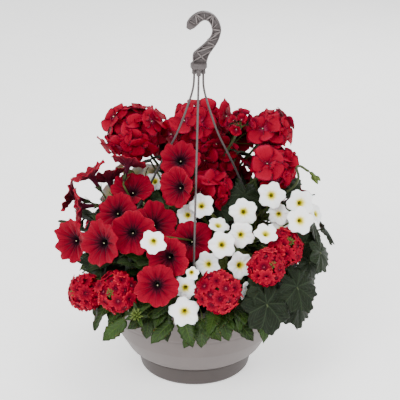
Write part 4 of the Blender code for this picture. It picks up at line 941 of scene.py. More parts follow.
def moulded_plastic(name, colour, rough):
    """Moulded polypropylene: an even satin with a fine mould grain and faint clouding."""
    material, tree, shader = blank(name, IOR=1.49, Specular_IOR_Level=0.4)
    clouds = mottle(tree, 38.0)
    # The mould's spark grain is about 0.1 mm; drawn at 0.7 mm so that it shows.
    grain = mottle(tree, 0.7, 2.0)
    tone = sums(tree, "MULTIPLY_ADD", grain, 0.3, sums(tree, "MULTIPLY", clouds, 0.7))
    clouded = ramp(tree, tone, ((0.3, shade(colour, 0.78)), (0.7, colour)))
    tree.links.new(clouded, shader.inputs["Base Color"])
    roughness = sums(tree, "MULTIPLY_ADD", clouds, 0.12, rough - 0.06)
    tree.links.new(roughness, shader.inputs["Roughness"])
    bumped(tree, shader, grain, 0.05, 0.35)
    return material


def peat(name):
    """Potting peat: matt crumbs and fibres, nearly black where damp."""
    material, tree, shader = blank(name, Roughness=0.95)
    crumbs = mottle(tree, 2.5, 6.0)
    browns = ramp(tree, crumbs, ((0.35, "120c08"), (0.55, "2b1d13"), (0.75, "4a3524")))
    tree.links.new(browns, shader.inputs["Base Color"])
    bumped(tree, shader, crumbs, 1.2)
    return material


def backdrop_paper(name):
    """Seamless studio paper, white and quite matt."""
    material, tree, shader = blank(
        name, Roughness=0.9, Emission_Color=paint("ffffff"), Emission_Strength=0.8)
    tone = ramp(tree, mottle(tree, 60.0, 2.0), ((0.3, "f7f7f6"), (0.7, "fbfbfa")))
    tree.links.new(tone, shader.inputs["Base Color"])
    return material


def petunia_petal(name, colour):
    """Petunia lip: a nearly black throat that runs out along the veins into a clear red."""
    return petal_finish(name, ((0.0, "0e0208"), (0.07, "18030b"), (0.15, "2e0416"), (0.25, "58061e"),
                               (0.38, shade(colour, 0.74)), (0.7, colour), (0.93, shade(colour, 1.16)),
                               (1.0, "b81e30")), 0.32, 0.12, veins=(3, 11))


def calibrachoa_petal(name, colour):
    """Calibrachoa lip: an olive throat, a soft yellow ring and white beyond it."""
    return petal_finish(name, ((0.0, "6c6808"), (0.08, "948c12"), (0.15, "c8bc28"), (0.23, "ece06a"),
                               (0.33, "faf6d4"), (0.45, shade(colour, 0.98)), (1.0, colour)),
                        0.08, 0.03, 0.55, 0.0, (1, 6))


def verbena_petal(name, colour):
    """Verbena floret: a small dull eye in a dark ring, brighter towards the notched edge."""
    return petal_finish(name, ((0.0, "a04c58"), (0.03, "600c22"), (0.07, "4a0016"), (0.18, "5c021c"),
                               (0.4, shade(colour, 0.66)), (0.7, colour), (0.92, shade(colour, 1.26)),
                               (1.0, "cc2634")), 0.05, 0.24, 0.48, 0.0, (1, 5))


def geranium_petal(name, colour):
    """Geranium petal: crimson with a network of fine brighter veins, a darker foot that is painted shade
    and a brighter edge that is painted light.
    """
    # 5c0220 at the foot is painted shade where the florets crowd; the lighter stops towards the edge are
    # painted light.
    return petal_finish(name, ((0.0, "9a2c4c"), (0.07, "5c0220"), (0.25, shade(colour, 0.62)),
                               (0.55, colour), (0.85, shade(colour, 1.14)), (1.0, "9c1030")),
                        0.12, 0.3, 0.5, 0.0, (4, 11), "a01230", 5.0)


# Finish of each surface by the part it covers: its real name, its maker and what the maker takes.
FINISHES = {
    # Moulded plastics: an even satin that shows soft wide lights and a faint orange peel.
    "bowl_plastic": ("moulded_polypropylene_taupe", moulded_plastic, "bowl", 0.46),
    "saucer_plastic": ("moulded_polypropylene_umber", moulded_plastic, "saucer", 0.5),
    "hanger_plastic": ("moulded_polypropylene_slate", moulded_plastic, "hanger", 0.4),
    # The same plastic, painted paler and a little smoother on the ribs: a painted highlight that makes
    # the lattice stand out against its recesses.
    "hanger_rib": ("burnished_polypropylene_slate", moulded_plastic, "rib", 0.34),
    # Petals grow a skin of tiny domed cells: velvety colour without a hard light.
    "petunia_petal": ("velvety_petunia_petal", petunia_petal, "petunia"),
    "calibrachoa_petal": ("crepe_white_calibrachoa_petal", calibrachoa_petal, "calibrachoa"),
    "verbena_petal": ("satin_verbena_petal", verbena_petal, "verbena"),
    "geranium_petal": ("crinkled_geranium_petal", geranium_petal, "geranium"),
    # Their undersides have flatter cells: duller, paler or browner, with the veins standing out.
    "petunia_petal_back": ("downy_petunia_petal_underside", petal_finish,
                           ((0.0, "3a0a1c"), (0.4, "5c1024"), (0.8, "7a1428"), (1.0, "981c30")),
                           0.25, 0.2),
    "calibrachoa_petal_back": ("crepe_cream_calibrachoa_underside", petal_finish,
                               ((0.0, "a3a056"), (0.3, "d4d09c"), (0.7, "f2f0ea"), (1.0, "fbf9f7")),
                               0.1, 0.05, 0.55, 0.0),
    "verbena_petal_back": ("matt_verbena_petal_underside", petal_finish,
                           ((0.0, "9a1830"), (0.5, "780a24"), (1.0, "8a0e26")), 0.1, 0.15),
    "geranium_petal_back": ("matt_geranium_petal_underside", petal_finish,
                            ((0.0, "7c1c38"), (0.4, "780828"), (1.0, "8a0c30")), 0.1, 0.15),
    # Flower tubes: smooth young skin, stained by the petal's colour.
    "petunia_tube": ("stained_petunia_tube", stem_finish, "3c1420", "5c1226"),
    "calibrachoa_tube": ("stained_calibrachoa_tube", stem_finish, "8c9038", "b8b66a"),
    "verbena_tube": ("stained_verbena_tube", stem_finish, "7c1c34", "c85a6c"),
    # Leaves: felted geranium, downy petunia and calibrachoa, and quilted verbena with a slight shine.
    "geranium_leaf": ("felted_geranium_leaf", leaf_finish,
                      "0d130a", "1c2614", "33402a", 5.0, 0.52, True),
    "geranium_leaf_back": ("felted_geranium_leaf_underside", leaf_finish,
                           "263020", "38422c", "4c563a", 5.0, 0.62, True),
    "petunia_leaf": ("downy_petunia_leaf", leaf_finish, "131d0b", "2b3d19", "43562a", 7.0, 0.55),
    "petunia_leaf_back": ("downy_petunia_leaf_underside", leaf_finish,
                          "303c20", "485632", "606e44", 7.0, 0.65),
    "calibrachoa_leaf": ("downy_calibrachoa_leaf", leaf_finish, "28320f", "4e5822", "6c7838", 6.0, 0.5),
    "calibrachoa_leaf_back": ("downy_calibrachoa_leaf_underside", leaf_finish,
                              "444e24", "666e3a", "828a50", 6.0, 0.6),
    "verbena_leaf": ("quilted_verbena_leaf", leaf_finish, "101a08", "2c4612", "486224", 8.0, 0.45),
    "verbena_leaf_back": ("quilted_verbena_leaf_underside", leaf_finish,
                          "2c3a18", "485a2c", "647640", 8.0, 0.6),
    # Stems and buds: fine-haired green skin, faintly glossy, older and browner on the geranium.
    "soft_stem": ("downy_green_stem", stem_finish, "202e10", "445222"),
    "geranium_stem": ("felted_geranium_stem", stem_finish, "2a301c", "424c2c"),
    "green_bud": ("downy_green_bud", stem_finish, "2c3c12", "5c6c2c"),
    "red_bud": ("satin_red_bud", stem_finish, "4c0618", "8c1028"),
    "pale_pistil": ("waxy_pale_pistil", stem_finish, "a8a878", "e0d8b8"),
    # Sifted peat kept damp: no shine at all, crumbs that throw small shadows.
    "damp_peat": ("sifted_potting_peat", peat),
    # Calendered paper: flat white that takes soft shadows.
    "studio_paper": ("calendered_studio_paper", backdrop_paper),
}


def finish_named(key):
    """Material of a surface, made when it is first asked for, in the user's colour if it has one."""
    name, maker, *values = FINISHES[key]
    colours = bpy.context.scene.basket_colours
    if values and isinstance(values[0], str) and hasattr(colours, values[0]):
        values[0] = tuple(getattr(colours, values[0]))
    return bpy.data.materials.get(name) or maker(name, *values)


# The bowl, its saucer, the soil and the hanger


def rounded(outline, radius):
    """Outline with each corner replaced by a short arc."""
    path = [Vector((*point, 0.0)) for point in outline]
    soft = [path[0]]
    for before, here, after in zip(path, path[1:], path[2:]):
        back, ahead = before - here, after - here
        reach = min(radius, back.length * 0.4, ahead.length * 0.4)
        start, end = here + back.normalized() * reach, here + ahead.normalized() * reach
        for step in range(4):
            t = step / 3
            soft.append(start * (1 - t) ** 2 + here * 2 * t * (1 - t) + end * t * t)
    soft.append(path[-1])
    return [(point.x, point.y) for point in soft]


def turned(shape, outline, steps, finish):
    """Turned body from an outline that starts and ends on the axis, its open side first."""
    rows = [circle(radius, height, steps) for radius, height in outline[1:-1]]
    shape.skin(rows, [index / len(rows) for index in range(len(rows))], [finish] * (len(rows) - 1))


def make_bowl():
    """Deep bowl with a rolled rim and a stepped foot, and the shallow saucer that clips under it."""
    bowl = Shape()
    turned(bowl, rounded(BOWL_OUTLINE, 1.6), 120, "bowl_plastic")
    bowl.made("bowl_shell", "bowl_plastic", "pot_bowl")
    saucer = Shape()
    turned(saucer, rounded(SAUCER_OUTLINE, 1.2), 120, "saucer_plastic")
    saucer.made("clip_on_saucer", "saucer_plastic", "drip_saucer")


def make_soil():
    """Crumbly top that rises and falls by a few millimetres, over sides that follow the bowl."""
    shape = Shape()
    rows = []
    steps = 90
    for out in (2, 8, 16, 26, 38, 50, 62, 74, 86, 98, 108, 116, 122, 125.3):
        row = circle(out, SOIL_TOP - 1.5, steps)
        for spot in row:
            spot.z += SOIL_SWELL * noise.fractal(spot * SOIL_WAVES, 1.0, 2.0, 4)
        rows.append(row)
    for out, height in ((119, 88), (95, 41), (76, 31), (71, 6)):
        rows.append(circle(out, height, steps))
    shape.coat(rows, "damp_peat")
    shape.made("potting_peat", "soil", "potting_soil")


def rounded_bar(shape, start, end, half_width, half_depth, finish, soft=0.35):
    """Straight bar between two points of the hook's plane, its long edges rounded."""
    start, end = Vector(start), Vector(end)
    way = (end - start).normalized()
    side = way.cross(Vector((0, 1, 0)))
    rows = []
    for spot in (end, start):
        row = []
        for x, y in ((half_width, half_depth - soft), (half_width - soft, half_depth),
                     (soft - half_width, half_depth), (-half_width, half_depth - soft),
                     (-half_width, soft - half_depth), (soft - half_width, -half_depth),
                     (half_width - soft, -half_depth), (half_width, soft - half_depth)):
            row.append(spot + side * x + Vector((0, y, 0)))
        rows.append(row)
    shape.skin(rows, (1.0, 0.0), (finish,))


def make_hook():
    """Crook of I section with zigzag ribs in its recesses, a lobed collar and three sockets."""
    finish = "hanger_plastic"
    shape = Shape()
    # Sections from the crook's tip to its foot.
    count = 72
    outer = smooth_route([(x, 0.0, z) for x, z in HOOK_OUTER], count)
    inner = smooth_route([(x, 0.0, z) for x, z in HOOK_INNER], count)
    rows = []
    for step, (one, other) in enumerate(zip(outer, inner)):
        middle = (one + other) / 2
        way = (one - other).normalized()
        # The crook narrows at its tip, where its end is solid.
        half = (one - other).length / 2 * (0.66 + 0.34 * rise(0, 3, step))
        profile = [(half, 0.0), (half, 3.6), (half - 0.3, 4.2), (half - 0.9, 4.5), (half - 1.5, 4.5),
                   (half - 1.8, 4.3), (half - 2.0, 3.8), (half - 2.2, 1.6), (half - 2.5, 1.2),
                   (0.0, 1.15)]
        if step < 5:
            profile = [(half, 0.0), (half, 3.4), (half - 0.3, 4.0), (half - 0.9, 4.3),
                       (half - 1.5, 4.4), (half - 2.0, 4.45), (half - 2.3, 4.45),
                       (half - 2.5, 4.45), (half - 2.9, 4.45), (0.0, 4.45)]
        upper = profile + [(-x, y) for x, y in reversed(profile[:-1])]
        whole = upper + [(x, -y) for x, y in reversed(upper[1:-1])]
        rows.append([middle + way * x + Vector((0, -y, 0)) for x, y in whole])
    shape.skin(rows, [step / count for step in range(count)], [finish] * (count - 1))
    # Ribs cross the web to and fro, with a short bar square across at each turn; their paler finish is a
    # painted highlight.
    bars = list(range(6, count - 8, 7))
    for index, step in enumerate(bars[:-1]):
        after = bars[index + 1]
        start, end = (outer[step], inner[after]) if index % 2 else (inner[step], outer[after])
        lean = (end - start).normalized() * 1.4
        rounded_bar(shape, start + lean, end - lean, 0.95, 4.3, "hanger_rib")
        rounded_bar(shape, outer[step].lerp(inner[step], 0.12), outer[step].lerp(inner[step], 0.88),
                    0.55, 3.6, "hanger_rib", 0.25)
    # Two ribs that cross each other just above the collar.
    for one, other in ((outer, inner), (inner, outer)):
        start, end = one[count - 13], other[count - 3]
        lean = (end - start).normalized() * 1.2
        rounded_bar(shape, start + lean, end - lean, 0.8, 4.3, "hanger_rib")
    x, y, z = COLLAR
    levels = ((4.0, -4.0), (9.6, -4.1), (10.6, -3.6), (11.0, -2.6), (11.0, 2.4), (10.6, 3.5), (9.6, 4.2),
              (6.5, 4.5), (3.0, 4.6))
    rows = []
    around = 96
    lobes = 12
    for radius, height in reversed(levels):
        row = []
        for step in range(around):
            angle = step * math.tau / around
            out = radius * (1.0 + 0.035 * math.cos(lobes * angle) * rise(7.0, 10.5, radius))
            row.append(Vector((x + out * math.cos(angle), y + out * math.sin(angle), z + height)))
        rows.append(row)
    shape.coat(rows, finish)
    socket = ((3.0, z - 2), (3.1, SOCKET_BASE + 3.0), (3.25, SOCKET_BASE + 2.2),
              (3.25, SOCKET_BASE + 0.6), (2.9, SOCKET_BASE), (1.9, SOCKET_BASE))
    for bearing in STRAND_BEARINGS.values():
        way = facing(bearing, 0.0) * 7.0
        rows = [circle(radius, height, 24, x + way.x, y + way.y) for radius, height in socket]
        shape.coat(rows, finish)
    shape.made("hanger_crook", "hanger_plastic", "hanger_hook")


def strand_route(bearing, count):
    """Smooth route of a strand from its socket down to its clip on the rim."""
    way = facing(bearing, 0.0)
    route = []
    for out, height in STRAND_ROUTE:
        lean = COLLAR[0] * (height - RIM_HEIGHT) / (SOCKET_BASE - RIM_HEIGHT)
        route.append(Vector((lean + way.x * out, way.y * out, height)))
    return smooth_route(route, count)


def clip_block(shape, bearing, low, high, soft=0.6):
    """Rounded block of a strand's clip, in the strand's own turn."""
    turn = Matrix.Rotation(math.radians(bearing), 3, "Z")
    (x0, y0, z0), (x1, y1, z1) = low, high
    rows = []
    for height, inset in ((z1, soft), (z1 - soft, 0.0), (z0 + soft, 0.0), (z0, soft)):
        a, b, c, d = x0 + inset, x1 - inset, y0 + inset, y1 - inset
        corners = ((a + soft, c), (b - soft, c), (b, c + soft), (b, d - soft),
                   (b - soft, d), (a + soft, d), (a, d - soft), (a, c + soft))
        rows.append([turn @ Vector((x, y, height)) for x, y in corners])
    shape.coat(rows, "hanger_plastic")


# Blocks of a clip as low and high corners, with the strand's way out as x: the tongue over the rim,
# the plate down its outside, the catch under its roll and the tooth inside it.
CLIP_BLOCKS = (
    ((123.6, -4, 142), (138.4, 4, 145)), ((135.4, -4, 126), (138.4, 4, 143)),
    ((132, -4, 126), (137, 4, 129.8)), ((123.6, -4, 131), (126.2, 4, 143)),
)


def make_strands():
    """Three plain strands, each let into its socket above and with its clip on the rim below."""
    for side, bearing in STRAND_BEARINGS.items():
        shape = Shape()
        route = strand_route(bearing, 70)
        route[0] = route[0] + Vector((0, 0, 1.0))
        radius = bpy.context.scene.basket_sizes.strand / MM / 2
        tube(shape, route, radius, radius, "hanger_plastic", 14)
        for low, high in CLIP_BLOCKS:
            clip_block(shape, bearing, low, high)
        shape.made("strand_" + side, "hanger_plastic", "hanger_strand_" + side)


# Flowers


def calyx(shape, at, length, spread, draw, leaf):
    """Five narrow sepals that clasp the foot of a tube."""
    for step in range(5):
        turn = Matrix.Rotation(step * math.tau / 5 + draw.uniform(-0.2, 0.2), 4, "Z")
        tilt = Matrix.Rotation(math.radians(-78 + draw.uniform(-8, 8)), 4, "Y")
        where = at @ turn @ Matrix.Translation((spread, 0, 0)) @ tilt
        blade(shape, where, length, length * 0.3, BLADES["sepal"], draw, leaf, leaf + "_back")


def make_sprays(kind):
    """Trumpet blooms, each on a bent stalk that leads to the spray's own stem."""
    mouth = bpy.context.scene.basket_sizes.mouth
    tube_length, full, tail = TUBES[kind]
    form = TRUMPETS[kind]
    finishes = (kind + "_petal", kind + "_petal_back", kind + "_tube")
    for name, (blooms, _, root) in SPRAYS.items():
        if not name.startswith(kind):
            continue
        shape = Shape()
        for index, (centre, width, heading, pitch) in enumerate(blooms):
            draw = random.Random(f"{name}{index}")
            normal = facing(heading, pitch)
            at = placed(centre, normal)
            length = tube_length * min(1.0, width / full)
            half_open = (name, index) == HALF_OPEN
            across = width * mouth * (1.06 if half_open else 1.0)
            folded = 0.75 if half_open else draw.uniform(-0.06, 0.1)
            trumpet(shape, at, across, length, form, draw, finishes, tail, folded)
            foot = at @ Vector((0, 0, -length))
            clasp = at @ Matrix.Translation((0, 0, -length + 0.5))
            calyx(shape, clasp, tube_length * 0.34, tail, draw, kind + "_leaf")
            if kind == "petunia":
                pit = at @ Vector((0.6, 0.4, -0.34 * width / 2))
                bud(shape, pit, normal, 2.6, 0.9, "pale_pistil", 8)
            bend = foot - normal * (root - foot).length * 0.4
            stalk = smooth_route((foot + normal * 1.0, bend.lerp(root, 0.25), root), 8)
            tube(shape, stalk, *STEMS["bloom"], "soft_stem")
        shape.made(name.replace("spray", "blooms"), kind + "_bloom", name)


def head_spots(count, spread, draw):
    """Unit places spread evenly over a dome by the golden angle."""
    for index in range(count):
        level = 1.0 - (index + 0.4) * 2 * spread / count
        out = math.sqrt(1.0 - level * level)
        turn = index * GOLDEN + draw.uniform(-0.12, 0.12)
        yield Vector((out * math.cos(turn), out * math.sin(turn), level))


def head_core(shape, at, size, share, finish):
    """Green middle of a flower head, which its florets hide."""
    rows = []
    for level in (0.9, 0.6, 0.2, -0.2, -0.5):
        out = math.sqrt(1.0 - level * level)
        around = circle(size.x * share * out, size.z * share * level, 20)
        rows.append([at @ spot for spot in around])
    shape.coat(rows, finish, 0.4)


def make_verbena_heads():
    """Domes of notched florets on pink tubes, some of them round a tuft of green buds."""
    across = bpy.context.scene.basket_sizes.verbena_floret / MM
    for name, (centre, width, height, heading, pitch) in HEADS.items():
        if not name.startswith("verbena"):
            continue
        shape = Shape()
        draw = random.Random(name)
        at = placed(centre, facing(heading, pitch))
        foot, normal = head_foot(name)
        size = Vector((width / 2, width / 2, height / 2))
        for spot in head_spots(VERBENA_FLORETS, VERBENA_DOME, draw):
            reach = draw.uniform(0.78, 0.93)
            local = Vector(part * scale for part, scale in zip(spot, size)) * reach
            place = at @ local
            if name in TUFTED and spot.z > 0.93:
                continue
            stray = Vector((draw.uniform(-0.25, 0.25), draw.uniform(-0.25, 0.25), 0.15))
            way = (at.to_3x3() @ (spot + stray)).normalized()
            grown_width = across * draw.uniform(0.92, 1.08)
            folded = draw.uniform(-0.12, 0.16)
            trumpet(shape, placed(place, way), grown_width, 9.0, TRUMPETS["verbena"], draw,
                    ("verbena_petal", "verbena_petal_back", "verbena_tube"), 1.0, folded)
            neck = place - way * 8.6
            stalk = smooth_route((neck, neck.lerp(foot, 0.5) - way * 2.0, foot), 5)
            tube(shape, stalk, *STEMS["verbena_floret"], "green_bud", 6)
        head_core(shape, at, size, 0.62, "verbena_leaf")
        if name in TUFTED:
            top = at @ Vector((0, 0, size.z * 0.72))
            for index, spot in enumerate(head_spots(20, 0.3, draw)):
                way = at.to_3x3() @ spot
                bud(shape, top + way * 1.5, way, draw.uniform(5.0, 8.0), 1.2,
                    "green_bud" if index % 5 else "red_bud", 7)
        bud(shape, foot + normal * 4.0, -normal, 4.6, 3.2, "soft_stem")
        shape.made(name.replace("head", "florets"), "verbena_bloom", name)


def geranium_floret(shape, at, size, draw, closed=0.0):
    """Broad rounded petals that overlap round a pale eye, and sepals beneath."""
    for step in range(5):
        turn = Matrix.Rotation(step * math.tau / 5 + draw.uniform(-0.16, 0.16), 4, "Z")
        lift = math.radians(-draw.uniform(-4, 18) - 55 * closed)
        tilt = Matrix.Rotation(lift, 4, "Y") @ Matrix.Rotation(draw.uniform(-0.22, 0.22), 4, "X")
        lap = Matrix.Translation((0, 0, 0.25 * step))
        where = at @ lap @ turn @ Matrix.Translation((0.6, 0, 0)) @ tilt
        grow = draw.uniform(0.82, 1.12)
        blade(shape, where, size * 0.54 * grow, size * draw.uniform(0.5, 0.64) * grow,
              BLADES["geranium_petal"], draw, "geranium_petal", "geranium_petal_back")
    bud(shape, at @ Vector((0, 0, -0.5)), at.to_3x3() @ Vector((0, 0, 1)), 3.2, 0.9, "pale_pistil", 6)
    calyx(shape, at @ Matrix.Translation((0, 0, -4.5)), 7.0, 0.8, draw, "geranium_leaf")


def make_geranium_heads():
    """Loose rounded heads of broad-petalled florets, one of them only half open."""
    across = bpy.context.scene.basket_sizes.geranium_floret / MM
    for name, (centre, width, height, heading, pitch) in HEADS.items():
        if not name.startswith("geranium"):
            continue
        shape = Shape()
        draw = random.Random(name)
        at = placed(centre, facing(heading, pitch))
        foot, normal = head_foot(name)
        size = Vector((width / 2, width / 2, height / 2))
        young = name == HALF_OPEN_HEAD
        open_count = max(GERANIUM_FEWEST, round(width * width / GERANIUM_SPACE))
        count = GERANIUM_YOUNG if young else open_count
        for index, spot in enumerate(head_spots(count, GERANIUM_DOME, draw)):
            # Every fourth floret of an open head stands out on a longer stalk.
            far = 1.34 if index % 4 == 2 and not young else 1.0
            local = Vector(part * scale for part, scale in zip(spot, size))
            place = at @ (local * draw.uniform(0.56, 0.8) * far)
            stray = Vector((draw.uniform(-0.34, 0.34), draw.uniform(-0.34, 0.34), 0.25))
            way = (at.to_3x3() @ (spot + stray)).normalized()
            floret = placed(place, way, Vector((draw.uniform(-1, 1), 0, -1)))
            grow = draw.uniform(0.89, 1.11) * (0.46 if young else 1.0)
            geranium_floret(shape, floret, across * grow, draw, 0.75 if young else 0.0)
            neck = place - way * 4.5
            stalk = smooth_route((neck, neck.lerp(foot, 0.5) - way * 2.5, foot + normal * 1.0), 6)
            tube(shape, stalk, *STEMS["geranium_floret"], "green_bud", 6)
        bud(shape, foot + normal * 5.0, -normal, 5.6, 4.2, "geranium_stem")
        shape.made(name.replace("head", "florets"), "geranium_bloom", name)


# Foliage


def round_leaf(shape, at, width, draw):
    """Round seven-lobed leaf with scalloped edge, puckered between its veins."""
    count = 84
    lobes = 7
    scallops = 21
    reach = width / 2
    shares = (0.04, 0.14, 0.26, 0.38, 0.5, 0.62, 0.74, 0.85, 0.94, 1.0)
    droop = [draw.uniform(-0.16, 0.02) for _ in range(lobes)]
    spin = draw.uniform(0.0, math.tau)
    tops = []
    for share in shares:
        row = []
        for step in range(count):
            angle = step * math.tau / count
            place = (angle * lobes / math.tau + 0.5) % lobes
            lobe = int(place)
            p = place - lobe
            seam = abs(math.cos(math.pi * p))
            edge = 1.0 + 0.12 * math.cos(angle) - 0.2 * seam ** 2.4
            edge += 0.034 * math.cos(angle * scallops + spin)
            # The blade is cut in to the stalk on its far side.
            gap = abs(angle - math.pi)
            edge *= 0.34 + 0.66 * rise(0.02, 0.16, gap)
            out = reach * share * (1.0 - (1.0 - edge) * share)
            body = math.sin(math.pi * p)
            z = 0.1 * seam * share * (1.2 - share) * 1.6 + droop[lobe] * body * share * share
            z += 0.03 * share * math.sin(3 * angle + spin) - 0.07 * share * share
            z += 0.022 * share * share * math.cos(angle * scallops + spin)
            row.append(Vector((out * math.cos(angle), out * math.sin(angle), z * reach)))
        tops.append(row)
    rows = [[at @ spot for spot in row] for row in tops]
    for row in reversed(tops[:-1]):
        rows.append([at @ (spot - Vector((0, 0, 0.7))) for spot in row])
    ups = [*shares, *reversed(shares[:-1])]
    kinds = ["geranium_leaf"] * (len(shares) - 1) + ["geranium_leaf_back"] * (len(shares) - 1)
    shape.skin(rows, ups, kinds, around=float(lobes))


def heart_lump(shape, owner, finish):
    """Tangle of shaded young growth at the foot of a plant, on its stem in the soil."""
    centre, size = HEARTS[owner]
    rows = []
    levels = 12
    for level in range(1, levels):
        lean = math.pi * level / levels
        row = []
        for local in circle(math.sin(lean), math.cos(lean), 24):
            swell = 0.86 + 0.2 * noise.noise(local * 3.0 + Vector(centre))
            shift = Vector(part * scale * swell for part, scale in zip(local, size))
            row.append(Vector(centre) + shift)
        rows.append(row)
    shape.coat(rows, finish, 0.3)
    x, y, z = centre
    stem = [Vector((x, y, height)) for height in (SOIL_TOP - 20, z - 10, z)]
    tube(shape, stem, *STEMS["plant"], "soft_stem", 10)


def small_leaf(shape, room, kind, base, aim, normal, stalk, span, width, draw):
    """Leaf on a short stalk, if it is clear of the flowers and the bowl."""
    normal = (normal - aim * normal.dot(aim)).normalized()
    start = base + aim * stalk
    side = normal.cross(aim)
    spots = [start + aim * span * t + side * width * 0.4 * s - normal * 0.15 * span * t * t
             for t in (0.15, 0.45, 0.75, 1.0) for s in (-1.0, 0.0, 1.0)]
    if not room.clear(spots, 1.0) or not room.clear([base.lerp(start, t) for t in (0.5, 1.0)], 0.5):
        return 0
    room.take([(start + aim * span * 0.5, 1.0)])
    at = placed(start - aim * 0.6, normal, aim)
    blade(shape, at, span, width, BLADES[kind], draw, kind + "_leaf", kind + "_leaf_back")
    route = [base, base.lerp(start, 0.5) - normal * 0.06 * stalk, start + aim * span * 0.04]
    tube(shape, route, *STEMS["small_leaf"], "soft_stem", 6)
    return 1


# How many draws a leaf that hangs over the rim, and any other leaf, may take to find room.
HANGING_TRIES = 30
OTHER_TRIES = 50
# Share of a plant's leaves that grow on the stems of its flowers.
ON_STEMS = 0.4


def leafy(shape, room, owner):
    """Leaves along a plant's stems, round its heart and over the rim, where there is room."""
    draw = random.Random(owner + "_leaves")
    kind = owner.split("_")[0]
    count, length, width, hanging, (low, high) = SMALL_LEAVES[owner]
    centre, size = HEARTS[owner]
    centre = Vector(centre)
    routes = stem_routes(owner)
    made = 0
    for _ in range(hanging * HANGING_TRIES):
        if made >= hanging:
            break
        bearing = draw.uniform(low, high)
        out = facing(bearing, 0.0)
        base = out * draw.uniform(112.0, 140.0) + Vector((0, 0, draw.uniform(140.0, 172.0)))
        aside = facing(bearing + draw.uniform(-50, 50), 0.0)
        aim = (aside + Vector((0, 0, draw.uniform(-1.3, 0.1)))).normalized()
        normal = out * draw.uniform(0.5, 1.4)
        normal += Vector((draw.uniform(-0.3, 0.3), draw.uniform(-0.3, 0.3), 1.0))
        grow = draw.uniform(0.8, 1.15)
        stalk = draw.uniform(2, 16)
        made += small_leaf(shape, room, kind, base, aim, normal, stalk, length * grow, width * grow, draw)
    made = 0
    for _ in range(count * OTHER_TRIES):
        if made >= count:
            break
        grow = draw.uniform(0.62, 1.12)
        if draw.random() < ON_STEMS:
            route = draw.choice(routes)
            base = route[draw.randrange(4, len(route) - 1)]
            outward = Vector((base.x, base.y, 0.0)).normalized()
            stalk = draw.uniform(2.0, 12.0)
        else:
            way = Vector((draw.uniform(-1, 1), draw.uniform(-1, 1), draw.uniform(-0.2, 1)))
            way.normalize()
            base = centre + Vector(part * scale * 0.85 for part, scale in zip(way, size))
            outward = (way + Vector((centre.x, centre.y, 0.0)).normalized() * 0.6).normalized()
            stalk = draw.uniform(6.0, 78.0)
        stray = Vector((draw.uniform(-0.9, 0.9), draw.uniform(-0.9, 0.9), draw.uniform(-0.3, 0.9)))
        aim = (outward + stray).normalized()
        normal = Vector((0, 0, 1.0)) + outward * draw.uniform(0.1, 1.2)
        made += small_leaf(shape, room, kind, base, aim, normal, stalk, length * grow, width * grow, draw)


def make_geranium_leaves(room):
    """Large round leaves on their stalks, the stems of the flower heads and a drooping bud stem."""
    shape = Shape()
    draw = random.Random("round leaves")
    heart = Vector(HEARTS["geranium_foliage"][0])
    places = []
    for centre, width, heading, pitch, roll in GERANIUM_LEAVES:
        tip = Matrix.Rotation(math.radians(roll), 3, facing(heading, pitch)) @ Vector((0, 0, -1))
        places.append((Vector(centre), width, facing(heading, pitch), tip))
    count, bearings, outs, heights = RIGHT_LEAVES
    first, last = bearings
    for index in range(count):
        bearing = first + (last - first) * (index + draw.uniform(0.0, 1.0)) / count
        centre = facing(bearing, 0.0) * draw.uniform(*outs) + Vector((0, 0, draw.uniform(*heights)))
        normal = facing(bearing + draw.uniform(-18, 18), draw.uniform(10, 40))
        width = draw.uniform(40, 60)
        places.append((centre, width, normal, Vector((draw.uniform(-0.4, 0.4), 0, -1))))
    for centre, width, normal, tip in places:
        at = placed(centre, normal, tip)
        round_leaf(shape, at, width, draw)
        for share in (0.0, 0.35, 0.7, 1.0):
            out = share * width / 2
            turns = [step * 0.8 for step in range(8)]
            room.take([(at @ Vector((out * math.cos(turn), out * math.sin(turn), 0)), 2.0)
                       for turn in turns])
        under = at @ Vector((0, 0, -8.0))
        bend = heart.lerp(under, 0.5) - Vector((0, 0, 4.0))
        stalk = smooth_route((heart, bend, under, at @ Vector((0, 0, -0.4))), 16)
        tube(shape, stalk, *STEMS["round_leaf"], "geranium_stem")
    for route in stem_routes("geranium_foliage"):
        tube(shape, route, *STEMS["geranium_flower"], "geranium_stem")
        room.take([(spot, STEMS["geranium_flower"][0]) for spot in route])
    tube(shape, smooth_route((heart, *BUD_STEM), 24), *STEMS["geranium_buds"], "geranium_stem")
    end = Vector(BUD_STEM[-1])
    for shift in DROOPING_BUDS:
        way = Vector(shift).normalized()
        neck = end + Vector(shift) * 0.6
        tube(shape, [end, neck.lerp(end, 0.4), neck], *STEMS["bud"], "green_bud", 6)
        bud(shape, neck - way * 0.5, way + Vector((0.1, 0, -0.5)), 10.0, 2.9, "green_bud", 8)
    heart_lump(shape, "geranium_foliage", "geranium_leaf")
    shape.made("geranium_leaves", "geranium_green", "geranium_foliage")


def make_tuft(shape, room, heart):
    """Head of tight green buds in a whorl of young leaves, on its own stem over the rim."""
    draw = random.Random("green tuft")
    centre = Vector(GREEN_TUFT)
    way = facing(*TUFT_FACING)
    at = placed(centre, way)
    for spot in head_spots(22, 0.5, draw):
        lean = at.to_3x3() @ spot
        bud(shape, centre + lean * 2.0, lean, draw.uniform(7.0, 10.0), 1.5, "green_bud", 7)
    for step in range(7):
        turn = Matrix.Rotation(step * math.tau / 7 + draw.uniform(-0.2, 0.2), 4, "Z")
        tilt = Matrix.Rotation(math.radians(-draw.uniform(10, 40)), 4, "Y")
        whorl = at @ Matrix.Translation((0, 0, -3.0)) @ turn @ tilt
        blade(shape, whorl, draw.uniform(17, 24), 8.0, BLADES["verbena"], draw,
              "verbena_leaf", "verbena_leaf_back")
    middle = heart.lerp(centre, 0.6) + Vector((0, 0, 8.0))
    tube(shape, smooth_route((heart, middle, centre), 14), *STEMS["green_tuft"], "soft_stem")
    room.take([(centre, 11.0)])


